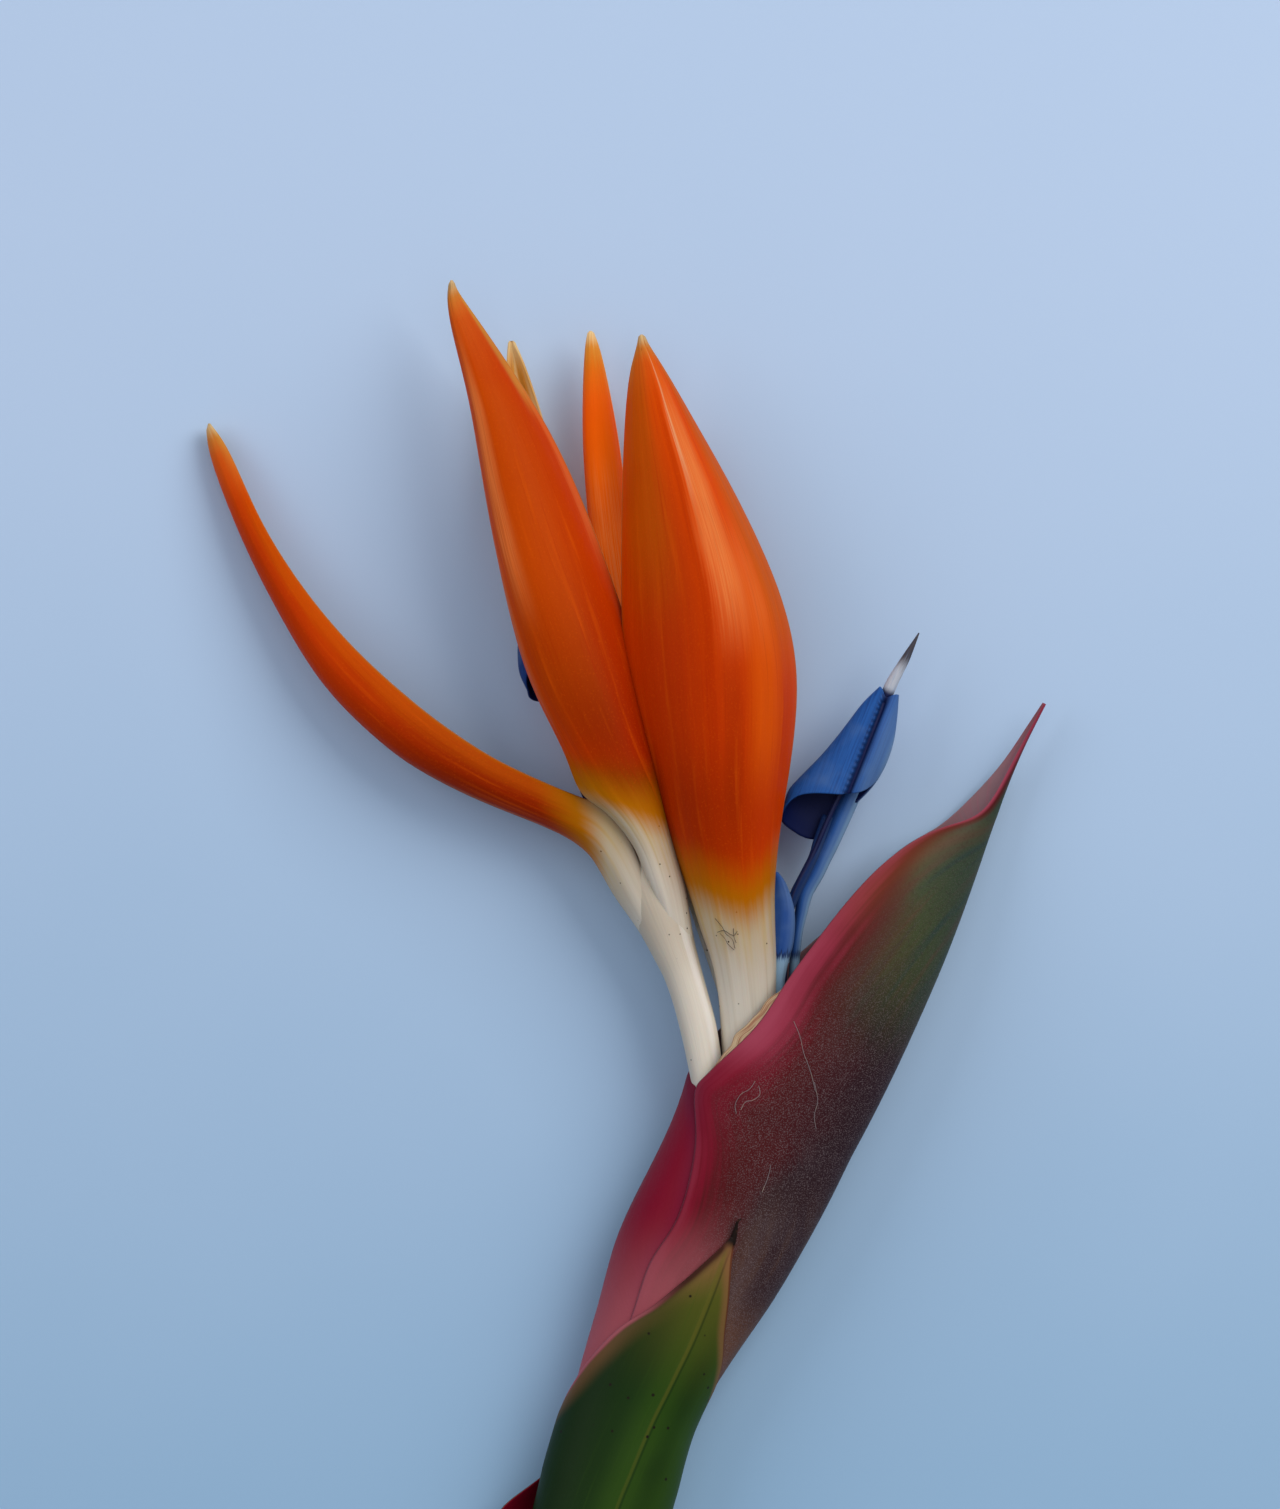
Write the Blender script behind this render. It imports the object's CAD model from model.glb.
"""A cut bird of paradise flower head with two open flowers, lying on a pale surface.

Everything is in metres, in the frame of the solids: +Y runs up the flower from the cut stem,
+X towards the point of the spathe and +Z up from the surface. Stations are in millimetres.
"""

import logging
from dataclasses import dataclass
from enum import Enum

import bpy
import numpy as np
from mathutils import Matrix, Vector


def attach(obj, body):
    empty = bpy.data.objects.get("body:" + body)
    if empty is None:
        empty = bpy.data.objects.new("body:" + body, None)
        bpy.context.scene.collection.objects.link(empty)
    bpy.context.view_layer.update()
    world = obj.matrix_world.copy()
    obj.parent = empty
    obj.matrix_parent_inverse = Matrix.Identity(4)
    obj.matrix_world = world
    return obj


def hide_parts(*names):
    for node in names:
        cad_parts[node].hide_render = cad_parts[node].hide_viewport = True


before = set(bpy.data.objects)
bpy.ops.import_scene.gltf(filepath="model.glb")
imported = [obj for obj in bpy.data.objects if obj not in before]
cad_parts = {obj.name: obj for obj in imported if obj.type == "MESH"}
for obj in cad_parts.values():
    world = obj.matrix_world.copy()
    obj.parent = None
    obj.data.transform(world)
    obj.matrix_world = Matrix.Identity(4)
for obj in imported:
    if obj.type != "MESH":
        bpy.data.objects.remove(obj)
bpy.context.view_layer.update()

MM = 0.001
# How far the columns of a grid crowd towards its margins, 0 for even columns.
CROWD = 0.4
Array = np.ndarray
Stations = np.ndarray | list | tuple
Colour = tuple[float, float, float]
log = logging.getLogger("bird_of_paradise")


# Curves and small formulas


def along(stations: Stations, t: Array) -> Array:
    """Values on a smooth (Catmull-Rom) curve through a list of stations.

    Args:
        stations: One row of values per station, evenly spaced in the parameter.
        t: Parameters from 0 at the first station to 1 at the last.

    Returns:
        One row of values per parameter.
    """
    rows = np.asarray(stations, float)
    rows = rows[:, None] if rows.ndim == 1 else rows
    last = len(rows) - 1
    padded = np.vstack([2 * rows[0] - rows[1], rows, 2 * rows[-1] - rows[-2]])
    place = np.clip(t, 0, 1) * last
    i = np.minimum(place.astype(int), last - 1)
    f = (place - i)[:, None]
    a, b, d, e = (padded[i + k] for k in range(4))
    return b + 0.5 * f * (d - a + f * (2 * a - 5 * b + 4 * d - e + f * (3 * (b - d) + e - a)))


def settled(curve: Array, share: float) -> Array:
    """A curve with its small kinks evened out.

    Each row becomes the mean of its neighbours, weighted by a bell curve. Beyond both ends the
    curve is continued by turning it about its end point, so the ends stay where they are.

    Args:
        curve: Evenly spaced rows.
        share: Half width of the bell curve as a share of the rows.

    Returns:
        As many rows.
    """
    reach = max(int(3 * share * len(curve)), 1)
    bell = np.exp(-0.5 * (np.arange(-reach, reach + 1) / (share * len(curve))) ** 2)
    ends = 2 * curve[0] - curve[reach:0:-1], 2 * curve[-1] - curve[-2 : -reach - 2 : -1]
    padded = np.vstack([ends[0], curve, ends[1]])
    return np.stack([np.convolve(column, bell / bell.sum(), "valid") for column in padded.T], axis=1)


def value_along(stations: Stations, t: Array) -> Array:
    """The single value of a one-column list of stations at each parameter."""
    return along(stations, t)[:, 0]


def smooth(low: float, high: float, x: Array) -> Array:
    """A smooth step: 0 at low, 1 at high, 3f^2 - 2f^3 between."""
    f = np.clip((x - low) / (high - low), 0, 1)
    return f * f * (3 - 2 * f)


def unit(v: Array) -> Array:
    """Vectors scaled to length 1 along the last axis."""
    return v / (np.linalg.norm(v, axis=-1, keepdims=True) + 1e-12)


def normals(points: Array) -> Array:
    """Unit normals of a grid of points: across x along, by central differences."""
    return unit(np.cross(np.gradient(points, axis=1), np.gradient(points, axis=0)))


def run_length(points: Array) -> Array:
    """Distance in millimetres from the first point of a polyline to each of its points."""
    steps = np.linalg.norm(np.diff(points, axis=0), axis=1)
    return np.concatenate([[0], np.cumsum(steps)])


def spread(count: int, crowd: float = CROWD) -> Array:
    """Values from -1 to 1, crowded towards both ends by the share crowd."""
    even = np.linspace(-1, 1, count)
    return (1 - crowd) * even + crowd * np.sin(even * np.pi / 2)


# Meshes from grids


@dataclass
class Patch:
    """A grid of points that closes on itself across, with marks that its finish reads.

    Attributes:
        points: Rows along, columns around, in millimetres.
        marks: Name of each mark and its values, of any shape that spreads over the points.
        ring: Whether the last row joins the first, instead of having capped ends.
    """

    points: Array
    marks: dict[str, Array | float]
    ring: bool = False

    def faces(self) -> tuple[Array, Array, Array]:
        """Its faces.

        Returns:
            Quads by index, end triangles by index, and the points with the cap centres added.
        """
        rows, columns = self.points.shape[:2]
        index = np.arange(rows * columns).reshape(rows, columns)
        below = index if self.ring else index[:-1]
        above = np.roll(index, -1, axis=0) if self.ring else index[1:]
        corners = [below, np.roll(below, -1, axis=1), np.roll(above, -1, axis=1), above]
        quads = np.stack(corners, axis=-1).reshape(-1, 4)
        points = self.points.reshape(-1, 3)
        if self.ring:
            return quads, np.zeros((0, 3), int), points
        ends = []
        for number, ring in enumerate((index[0], index[-1])):
            centre = np.full(columns, rows * columns + number)
            pair = ring, np.roll(ring, -1)
            ends.append(np.stack([centre, *(pair if number else pair[::-1])], axis=-1))
        centres = self.points[[0, -1]].mean(axis=1)
        return quads, np.concatenate(ends), np.vstack([points, centres])

    def mark_values(self, name: str) -> Array:
        """A mark as one list.

        Args:
            name: Its name.

        Returns:
            Its values in the order of the points, cap centres last, 0 where it isn't given.
        """
        grid = np.broadcast_to(self.marks.get(name, 0), self.points.shape[:2])
        caps = [] if self.ring else grid[[0, -1]].mean(axis=1)
        return np.concatenate([grid.ravel(), caps])


def signed_volume(points: Array, triangles: Array) -> float:
    """Six times the volume inside the triangles, negative if they face inwards."""
    a, b, c = (points[triangles[:, k]] for k in range(3))
    return float(np.einsum("ij,ij->", a, np.cross(b, c)))


def make_piece(name: str, patches: list[Patch], material: bpy.types.Material) -> bpy.types.Object:
    """Joins patches in one mesh object whose faces point outwards.

    Args:
        name: Name of the piece.
        patches: Its closed grids, in millimetres.
        material: Its finish.

    Returns:
        The object, at the origin, in metres.
    """
    points, faces, start = [], [], 0
    for patch in patches:
        quads, triangles, place = patch.faces()
        halves = np.concatenate([quads[:, [0, 1, 2]], quads[:, [0, 2, 3]], triangles])
        if signed_volume(place, halves) < 0:
            quads, triangles = quads[:, ::-1], triangles[:, ::-1]
        faces += (quads + start).tolist() + (triangles + start).tolist()
        points.append(place * MM)
        start += len(place)
    mesh = bpy.data.meshes.new(name)
    mesh.from_pydata(np.vstack(points).tolist(), [], faces)
    for mark in {key for patch in patches for key in patch.marks}:
        values = np.concatenate([patch.mark_values(mark) for patch in patches])
        mesh.attributes.new(mark, "FLOAT", "POINT").data.foreach_set("value", values.astype(np.float32))
    mesh.materials.append(material)
    mesh.polygons.foreach_set("use_smooth", np.ones(len(mesh.polygons), bool))
    mesh.update()
    piece = bpy.data.objects.new(name, mesh)
    bpy.context.scene.collection.objects.link(piece)
    return piece


def add_piece(name: str, patches: list[Patch], finish: "Finish", slot: str, *nodes: str) -> None:
    """Makes a piece, dresses it and fixes it to the flower's one body.

    Args:
        name: Name of the piece.
        patches: Its closed grids, in millimetres.
        finish: What dresses it.
        slot: The record's material slot that it takes its finish from.
        nodes: The solids that it stands for, none for trim.
    """
    piece = make_piece(name, patches, finish.material())
    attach(piece, "root")
    if nodes:
        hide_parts(*nodes)
    log.info("%s stands for %s: %d faces", name, ", ".join(nodes) or "no solid", len(piece.data.polygons))


def walled(middle: Array, wall: Array, marks: dict[str, Array], outward: Array | None = None) -> Patch:
    """A sheet with a wall round a grid of middle points, its margins rounded.

    The outer face, the middle plus half the wall along the normal, runs across the grid. The
    inner face, the middle minus half the wall, runs back, and both meet at the margins because
    the wall falls to nothing there.

    Args:
        middle: Rows along, columns across.
        wall: Full thickness at every point.
        marks: Marks of the grid, of any shape that spreads over it.
        outward: Normals to use, if not those of the grid.

    Returns:
        The closed patch, with the mark "outer" at 1 on the outer face and 0 on the inner.
    """
    half = (normals(middle) if outward is None else outward) * wall[..., None] / 2
    shape = middle.shape[:2]
    back = slice(-2, 0, -1)
    points = np.concatenate([middle + half, (middle - half)[:, back]], axis=1)
    spans = {name: np.broadcast_to(grid, shape) for name, grid in marks.items()}
    grown = {name: np.concatenate([grid, grid[:, back]], axis=1) for name, grid in spans.items()}
    outer = np.ones(shape)
    outer[:, [0, -1]] = 0.5
    grown["outer"] = np.concatenate([outer, np.zeros(shape)[:, back]], axis=1)
    return Patch(points, grown)


def margin_round(s: Array, sharpness: float = 26) -> Array:
    """Share of the wall left towards the margins: the root of 1 - |s|^sharpness."""
    return np.sqrt(np.clip(1 - np.abs(s) ** sharpness, 0, 1))


# Petals and sepals


@dataclass
class Blade:
    """A folded blade between two margins and a keel.

    Across, s runs from -1 at one margin through 0 at the keel to 1 at the other. A point lies
    at the keel plus each half's chord times a softened max(s, 0) or max(-s, 0), which rounds
    the keel, and is bowed out by 4m(1 - m) of the chord's length. Fine folds move it along the
    normal by depth (cos(count pi s + phase) + 0.6 cos(2.3 count pi s + 2 phase)), less towards
    both ends. The wall is thickest at the keel, half of that beside the margins and a quarter
    at the tip.

    Attributes:
        margin, keel, other: Stations of the three rails, foot first.
        bow: How far each half bulges, as a share of its chord, in steps along the blade.
        soft: Half width of the rounded keel in s, in steps along the blade.
        claw: Millimetres from the foot to the end of the pale claw, in even steps of s.
        wall: Thickness at the keel.
        pleats: Depth in millimetres, count, and phase of the fine lengthwise folds.
        hollow: Whether the hollow side is the one that the normals point to.
        rows, columns: Points along and across.
        crowd: How far the columns crowd towards the margins.
        settle: Half width of the bell curve that evens out the rails, as a share of their length.
    """

    margin: Stations
    keel: Stations
    other: Stations
    bow: tuple = (0.12, 0.12)
    soft: tuple = (0.2, 0.2)
    claw: tuple = (0, 0, 0)
    wall: float = 0.9
    pleats: tuple = (0.03, 6, 0)
    hollow: bool = False
    rows: int = 170
    columns: int = 57
    crowd: float = 0.45
    settle: float = 0.022

    def patch(self) -> Patch:
        """The blade's surface.

        Returns:
            The closed patch, with marks for the distance past the claw, the distance from the
            tip and the place across.
        """
        t = np.linspace(0, 1, self.rows)
        s = spread(self.columns, self.crowd)
        lines = (self.keel, self.margin, self.other)
        ridge, *sides = (settled(along(line, t), self.settle) for line in lines)
        rails = [side - ridge for side in sides]
        soft = value_along(self.soft, t)[:, None]
        size = (np.sqrt(s**2 + soft**2) - soft) / (np.sqrt(1 + soft**2) - soft)
        out = -(rails[0] + rails[1]) / 2
        bow = value_along(self.bow, t)[:, None]
        points = np.repeat(ridge[:, None], self.columns, axis=1)
        for chord, m in zip(rails, ((size - s) / 2, (size + s) / 2)):
            line = unit(chord)
            away = unit(out - np.sum(out * line, axis=1, keepdims=True) * line)
            width = np.linalg.norm(chord, axis=1)[:, None]
            lift = bow * width * 4 * m * (1 - m)
            points = points + chord[:, None] * m[..., None] + away[:, None] * lift[..., None]
        depth, count, phase = self.pleats
        fold = np.cos(count * np.pi * s + phase) + 0.6 * np.cos(2.3 * count * np.pi * s + 2 * phase)
        points = points + normals(points) * (depth * fold * np.sin(np.pi * t)[:, None] ** 0.5)[..., None]
        length = run_length(ridge)[:, None]
        claw = np.interp(s, np.linspace(-1, 1, len(self.claw)), self.claw)
        tip = smooth(0, 0.015, 1 - t)[:, None] * 0.75 + 0.25
        wall = self.wall * (0.5 + 0.5 * np.cos(s * np.pi / 2)) * margin_round(s) * tip
        marks = {"rise": length - claw, "left": length[-1] - length, "across": s}
        outward = -normals(points) if self.hollow else normals(points)
        return walled(points, wall, marks, outward)


@dataclass
class Stalk:
    """A round or oval body along stations of x, y, z, half width and half depth.

    Around, the point lies at the centre plus half width times the cosine and half depth times
    the sine of the angle, 0 at the right and 90 degrees at the front.

    Attributes:
        stations: The list of stations, foot first.
        ridges: Depth, count and phase of lengthwise ridges.
        deep: Cover of the darkest colour of its finish, 0 to 1.
        shift: Added to the mark that runs from -1 at the left to 1 at the right, and half of the
            extra cover of the darkest colour at the left.
        start: Value of the mark "rise" at the foot, in millimetres.
        rows, sides: Points along and around.
    """

    stations: Stations
    ridges: tuple = (0, 5, 0)
    deep: float = 0.0
    shift: float = 0.0
    start: float = 0.0
    rows: int = 90
    sides: int = 40

    def patch(self) -> Patch:
        """The stalk's surface.

        Returns:
            The closed patch, with the marks that the finishes of tubes, stalks and buds read.
        """
        t = np.linspace(0, 1, self.rows)
        values = along(self.stations, t)
        centre = values[:, :3]
        tangent = unit(np.gradient(centre, axis=0))
        across = unit(np.cross(tangent, (0, 0, 1)))
        front = np.cross(across, tangent)
        angle = np.linspace(0, 2 * np.pi, self.sides, endpoint=False)
        depth, count, phase = self.ridges
        grow = 1 + depth * np.cos(count * angle + phase)
        reach = values[:, 3:5, None] * grow * np.stack([np.cos(angle), np.sin(angle)])
        wide, high = reach[:, 0, :, None], reach[:, 1, :, None]
        points = centre[:, None] + wide * across[:, None] + high * front[:, None]
        length = run_length(centre)[:, None]
        marks = {
            "rise": self.start + length,
            "left": length[-1] - length,
            "across": np.cos(angle) + self.shift,
            "outer": 1,
            "deep": self.deep + 2 * self.shift * smooth(0.3, -0.8, np.cos(angle)),
        }
        return Patch(points, marks)


# Rings of the spathe and of the sheaths: keel x, keel y, tilt, half width, half depth, mid
# height and pinch. Angles go from the keel at 0 over the front at 90 to the far side at 180.
# The lips are the spathe's two free edges: degrees to the near one, and back to the far one.
SPATHE_RINGS = [
    (5.3, -75.8, 18.4, 9.4, 7.3, 10.4, 0),
    (8.1, -67.1, 18.4, 9.6, 7.4, 10.5, 0),
    (11.3, -59.2, 19, 10.8, 7.9, 10.6, 0),
    (18.7, -47.3, 22, 12.6, 9, 10.9, 0.05),
    (24.5, -39.2, 23.5, 14.6, 10.2, 11.2, 0.1),
    (29.1, -31.7, 25, 15.2, 10.8, 11.4, 0.15),
    (35.7, -19.9, 25, 15.4, 11, 11.5, 0.2),
    (39.7, -11.5, 25, 15.9, 11, 11.5, 0.2),
    (41, -9.2, 25, 16.3, 11, 11.5, 0.2),
    (46.7, 1.7, 25, 15.9, 10.8, 11.3, 0.2),
    (52.5, 14.3, 25, 13, 10.2, 10.7, 0.2),
    (57.5, 25.7, 25, 11.6, 8.8, 9.3, 0.2),
    (62, 37.9, 25, 8.4, 6.8, 7.4, 0.2),
    (64.2, 44.2, 25, 5.6, 5, 6.4, 0.2),
    (66.4, 50.5, 25, 3.5, 3.2, 6, 0.2),
    (70.5, 60.3, 25, 1.6, 1.7, 6, 0.2),
    (73.3, 66, 25, 0.9, 1, 6.2, 0.2),
    (75.5, 70.3, 25, 0.4, 0.5, 6.4, 0.2),
]
SPATHE_LIPS = [
    (126, 252), (125, 253), (122, 256), (122, 256), (123, 255), (118, 260),
    (131, 246), (153, 206), (144, 177), (130, 157), (140, 147), (140, 129),
    (137, 135), (121, 124), (63, 117), (51, 97), (50, 95), (50, 95),
]
LOWER_RINGS = [
    (-5.8, -106.8, 18.4, 8.9, 7.6, 9.5, 0),
    (0.9, -92.3, 18.4, 10.6, 8.2, 10.1, 0),
    (6.7, -78.5, 18.4, 11.8, 8.6, 10.4, 0),
    (8.5, -72.8, 18.4, 12, 8.7, 10.5, 0),
]
SHEATH_STAND_OFF = 1.2


def grown_rings(rings: Stations, by: Array | float) -> Array:
    """Rings made larger all round: half width and half depth grow, and the keel moves out.

    Args:
        rings: One ring per row, or one per row and column.
        by: Millimetres added, one number or one for each ring.

    Returns:
        The larger rings.
    """
    rings = np.array(rings, float)
    tilt = np.radians(rings[..., 2])
    rings[..., 0] += by * np.cos(tilt)
    rings[..., 1] -= by * np.sin(tilt)
    rings[..., 3] += by
    rings[..., 4] += by
    return rings


def ring_points(rings: Array, degrees: Array) -> Array:
    """Points of rings at angles.

    The point lies w(1 - cos a) inwards from the keel along the tilted ring, and
    d sin a (1 - pinch cos a) above the mid height.

    Args:
        rings: One ring per row, or one per row and column.
        degrees: Rows by columns of angles from the keel.

    Returns:
        Rows by columns of points.
    """
    rings = rings[:, None] if rings.ndim == 2 else rings
    x, y, tilt, wide, deep, mid, pinch = np.moveaxis(rings, -1, 0)
    angle = np.radians(degrees)
    inward = wide * (1 - np.cos(angle))
    tilt = np.radians(tilt)
    z = mid + deep * np.sin(angle) * (1 - pinch * np.cos(angle))
    return np.stack([x - inward * np.cos(tilt), y + inward * np.sin(tilt), z], axis=-1)


def edge_distance(points: Array) -> tuple[Array, Array]:
    """Distances from both edges of a grid, along its rows.

    Args:
        points: Rows along, columns across.

    Returns:
        Millimetres from the first column and from the last, at each point.
    """
    steps = np.linalg.norm(np.diff(points, axis=1), axis=2)
    run = np.concatenate([np.zeros((len(points), 1)), np.cumsum(steps, axis=1)], axis=1)
    return run, run[:, -1:] - run


# Colours


def srgb(red: int, green: int, blue: int) -> Colour:
    """A colour as linear light: ((v + 0.055) / 1.055)^2.4, or v / 12.92 where it is dark.

    Args:
        red, green, blue: The colour as it shows on a screen, 0 to 255.

    Returns:
        Its three parts from 0 to 1.
    """
    shown = np.array([red, green, blue]) / 255
    linear = np.where(shown <= 0.04045, shown / 12.92, ((shown + 0.055) / 1.055) ** 2.4)
    return tuple(float(c) for c in linear)


class Ink(Enum):
    """Named colours of the flower."""

    ORANGE = srgb(222, 72, 0)
    DEEP_ORANGE = srgb(172, 34, 0)
    LIGHT_ORANGE = srgb(238, 98, 6)
    AMBER_ORANGE = srgb(198, 88, 2)
    DARK_RED = srgb(110, 18, 0)
    SALMON = srgb(236, 126, 62)
    TAN_SHEEN = srgb(222, 132, 58)
    AMBER = srgb(182, 108, 2)
    TIP_GOLD = srgb(204, 144, 58)
    TIP_CREAM = srgb(232, 210, 160)
    CREAM = srgb(222, 212, 196)
    WHITE_SHEEN = srgb(244, 238, 230)
    OLIVE_TAN = srgb(150, 122, 76)
    CLAW_YELLOW = srgb(206, 172, 98)
    ROSE_TAN = srgb(206, 168, 150)
    BLACK_BROWN = srgb(30, 20, 16)
    BLUE = srgb(40, 80, 150)
    BRIGHT_BLUE = srgb(40, 78, 146)
    NAVY = srgb(12, 20, 60)
    HOOD_BLUE = srgb(38, 92, 166)
    HOOD_DARK = srgb(26, 60, 124)
    DARK_AMBER = srgb(128, 62, 0)
    INNER_NAVY = srgb(13, 24, 72)
    DUSTY_BLUE = srgb(92, 122, 164)
    PALE_BLUE = srgb(150, 184, 208)
    WHITE = srgb(186, 190, 200)
    GREY_BROWN = srgb(60, 54, 60)
    CRIMSON = srgb(134, 12, 40)
    MAGENTA = srgb(140, 26, 84)
    PINK = srgb(196, 92, 116)
    MAUVE = srgb(152, 116, 122)
    RED_BROWN = srgb(82, 22, 24)
    BELLY_PURPLE = srgb(46, 26, 32)
    BELLY_GREEN = srgb(66, 74, 44)
    BELLY_TEAL = srgb(44, 62, 58)
    BELLY_BROWN = srgb(92, 62, 44)
    BLOOM = srgb(136, 122, 124)
    BEIGE = srgb(128, 98, 90)
    LEAF_GREEN = srgb(30, 56, 16)
    LEAF_DARK = srgb(14, 34, 12)
    LEAF_BRIGHT = srgb(56, 88, 20)
    LEAF_OLIVE = srgb(104, 98, 34)
    SHEATH_PINK = srgb(176, 92, 100)
    SHEATH_TAN = srgb(150, 98, 64)
    MEMBRANE = srgb(206, 176, 136)
    MEMBRANE_DARK = srgb(150, 84, 52)


Tint = Ink | Colour | bpy.types.NodeSocket


# Shaders


class Value:
    """A number that varies over a surface: the output of a node, with arithmetic."""

    def __init__(self, paint: "Paint", socket: bpy.types.NodeSocket) -> None:
        """Wraps a node's output socket."""
        self.paint = paint
        self.socket = socket

    def math(self, operation: str, *operands: "Value | float") -> "Value":
        """One Math node on these operands."""
        return self.paint.value("Math", {"operation": operation}, dict(enumerate(operands)))

    def __add__(self, other: "Value | float") -> "Value":
        """Sum."""
        return self.math("ADD", self, other)

    def __sub__(self, other: "Value | float") -> "Value":
        """Difference."""
        return self.math("SUBTRACT", self, other)

    def __rsub__(self, other: float) -> "Value":
        """Difference from a number."""
        return self.math("SUBTRACT", other, self)

    def __mul__(self, other: "Value | float") -> "Value":
        """Product."""
        return self.math("MULTIPLY", self, other)

    def __truediv__(self, other: "Value | float") -> "Value":
        """Quotient."""
        return self.math("DIVIDE", self, other)

    def __abs__(self) -> "Value":
        """Size without sign."""
        return self.math("ABSOLUTE", self)

    def step(self, low: float, high: float) -> "Value":
        """A smooth step of this value.

        Args:
            low: Where it is 0.
            high: Where it is 1, which may be the smaller number.

        Returns:
            The step, 0 to 1.
        """
        flip = low > high
        node = self.paint.node(
            "MapRange",
            {"interpolation_type": "SMOOTHSTEP"},
            {"Value": self, "From Min": min(low, high), "From Max": max(low, high)},
        )
        mask = Value(self.paint, node.outputs["Result"])
        return 1 - mask if flip else mask

    __radd__ = __add__
    __rmul__ = __mul__


class Paint:
    """A material in the making: its nodes, and what they read from the piece."""

    def __init__(self, name: str) -> None:
        """Starts a material with one Principled shader.

        Args:
            name: Material name.
        """
        self.material = bpy.data.materials.new(name)
        self.material.use_nodes = True
        self.tree = self.material.node_tree
        self.tree.nodes.clear()
        self.shader = self.node("BsdfPrincipled")
        self.node("OutputMaterial", {}, {"Surface": self.shader.outputs["BSDF"]})
        self.place = self.node("TexCoord").outputs["Object"]

    def node(self, kind: str, settings: dict | None = None, inputs: dict | None = None) -> bpy.types.Node:
        """Adds a node.

        Args:
            kind: Its type without the ShaderNode prefix.
            settings: Values of its own properties, set first.
            inputs: Sockets by name or number, each a value, a Value or an output socket.

        Returns:
            The node.
        """
        node = self.tree.nodes.new("ShaderNode" + kind)
        for name, setting in (settings or {}).items():
            setattr(node, name, setting)
        self.plug(node, inputs or {})
        return node

    def plug(self, node: bpy.types.Node, inputs: dict) -> None:
        """Sets or links sockets of a node.

        Args:
            node: The node.
            inputs: Sockets by name or number, each a value, a Value or an output socket.
        """
        for key, given in inputs.items():
            source = given.socket if isinstance(given, Value) else given
            if isinstance(source, bpy.types.NodeSocket):
                self.tree.links.new(source, node.inputs[key])
            else:
                node.inputs[key].default_value = source

    def value(
        self, kind: str, settings: dict | None = None, inputs: dict | None = None, out: int = 0
    ) -> Value:
        """Adds a node and wraps one of its outputs."""
        return Value(self, self.node(kind, settings, inputs).outputs[out])

    def marks(self, *names: str) -> list[Value]:
        """Marks of the piece's mesh, by their names."""
        return [self.value("Attribute", {"attribute_name": name}, out=2) for name in names]

    def axes(self) -> tuple[Value, Value, Value]:
        """The place on the piece in millimetres, as x, y and z."""
        node = self.node("SeparateXYZ", {}, {0: self.place})
        return tuple(Value(self, out) * 1000 for out in node.outputs)

    def noise(
        self, vector: bpy.types.NodeSocket, scale: float, detail: float = 2, warp: float = 0
    ) -> Value:
        """Noise from 0 to 1 round 0.5."""
        inputs = {"Vector": vector, "Scale": scale, "Detail": detail, "Distortion": warp}
        return self.value("TexNoise", {}, inputs)

    def fibres(self, run: Value, across: Value, detail: float = 3, shift: float = 0.0) -> Value:
        """Lengthwise noise.

        Args:
            run: Place along the piece, scaled so that the noise changes once in 1.
            across: Place across, scaled in the same way.
            detail: Levels of finer noise in it.
            shift: Moves it from piece to piece.

        Returns:
            Values from 0 to 1 round 0.5.
        """
        place = self.node("CombineXYZ", {}, {0: run, 1: across, 2: shift})
        return self.noise(place.outputs[0], 1, detail)

    def specks(self, scale: float, size: float, share: float) -> Value:
        """Small dots.

        Args:
            scale: Cells in a metre.
            size: Half width of a dot as a share of its cell.
            share: Share of the cells that have one.

        Returns:
            1 in the dots and 0 elsewhere.
        """
        cells = self.node("TexVoronoi", {}, {"Vector": self.place, "Scale": scale})
        near = Value(self, cells.outputs["Distance"]).step(size, size * 0.4)
        pick = self.node("SeparateColor", {}, {0: cells.outputs["Color"]})
        return near * Value(self, pick.outputs[0]).step(share, share * 0.98)

    def blend(self, under: Tint, over: Tint, factor: "Value | float") -> bpy.types.NodeSocket:
        """One colour over another.

        Args:
            under, over: The two colours.
            factor: Cover of the upper one, 0 to 1.

        Returns:
            The mixed colour.
        """
        colours = {}
        for number, colour in ((6, under), (7, over)):
            tint = colour.value if isinstance(colour, Ink) else colour
            colours[number] = (*tint, 1) if isinstance(tint, tuple) else tint
        return self.node("Mix", {"data_type": "RGBA"}, {"Factor": factor} | colours).outputs[2]

    def layers(self, base: Tint, *over: tuple[Tint, "Value | float"]) -> Tint:
        """Colours laid over a base colour.

        Args:
            base: The lowest colour.
            over: Each further colour and its mask, lowest first.

        Returns:
            The mixed colour.
        """
        for colour, mask in over:
            base = self.blend(base, colour, mask)
        return base

    def finish(
        self,
        colour: bpy.types.NodeSocket,
        rough: "Value | float",
        relief: Value | None = None,
        depth: float = 0.1,
        **more: "Value | float | tuple | bpy.types.NodeSocket",
    ) -> None:
        """Joins the colour, roughness and relief to the shader.

        Args:
            colour: Base colour.
            rough: Roughness.
            relief: Height of the relief, 0 to 1.
            depth: What a relief of 1 stands for, in millimetres.
            more: Other sockets of the shader by name, with underscores for spaces.
        """
        inputs = {"Base Color": colour, "Roughness": rough}
        if relief is not None:
            bump = self.node("Bump", {}, {"Strength": 1, "Distance": depth * MM, "Height": relief})
            inputs["Normal"] = bump.outputs[0]
        inputs |= {name.replace("_", " "): given for name, given in more.items()}
        self.plug(self.shader, inputs)


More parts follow.
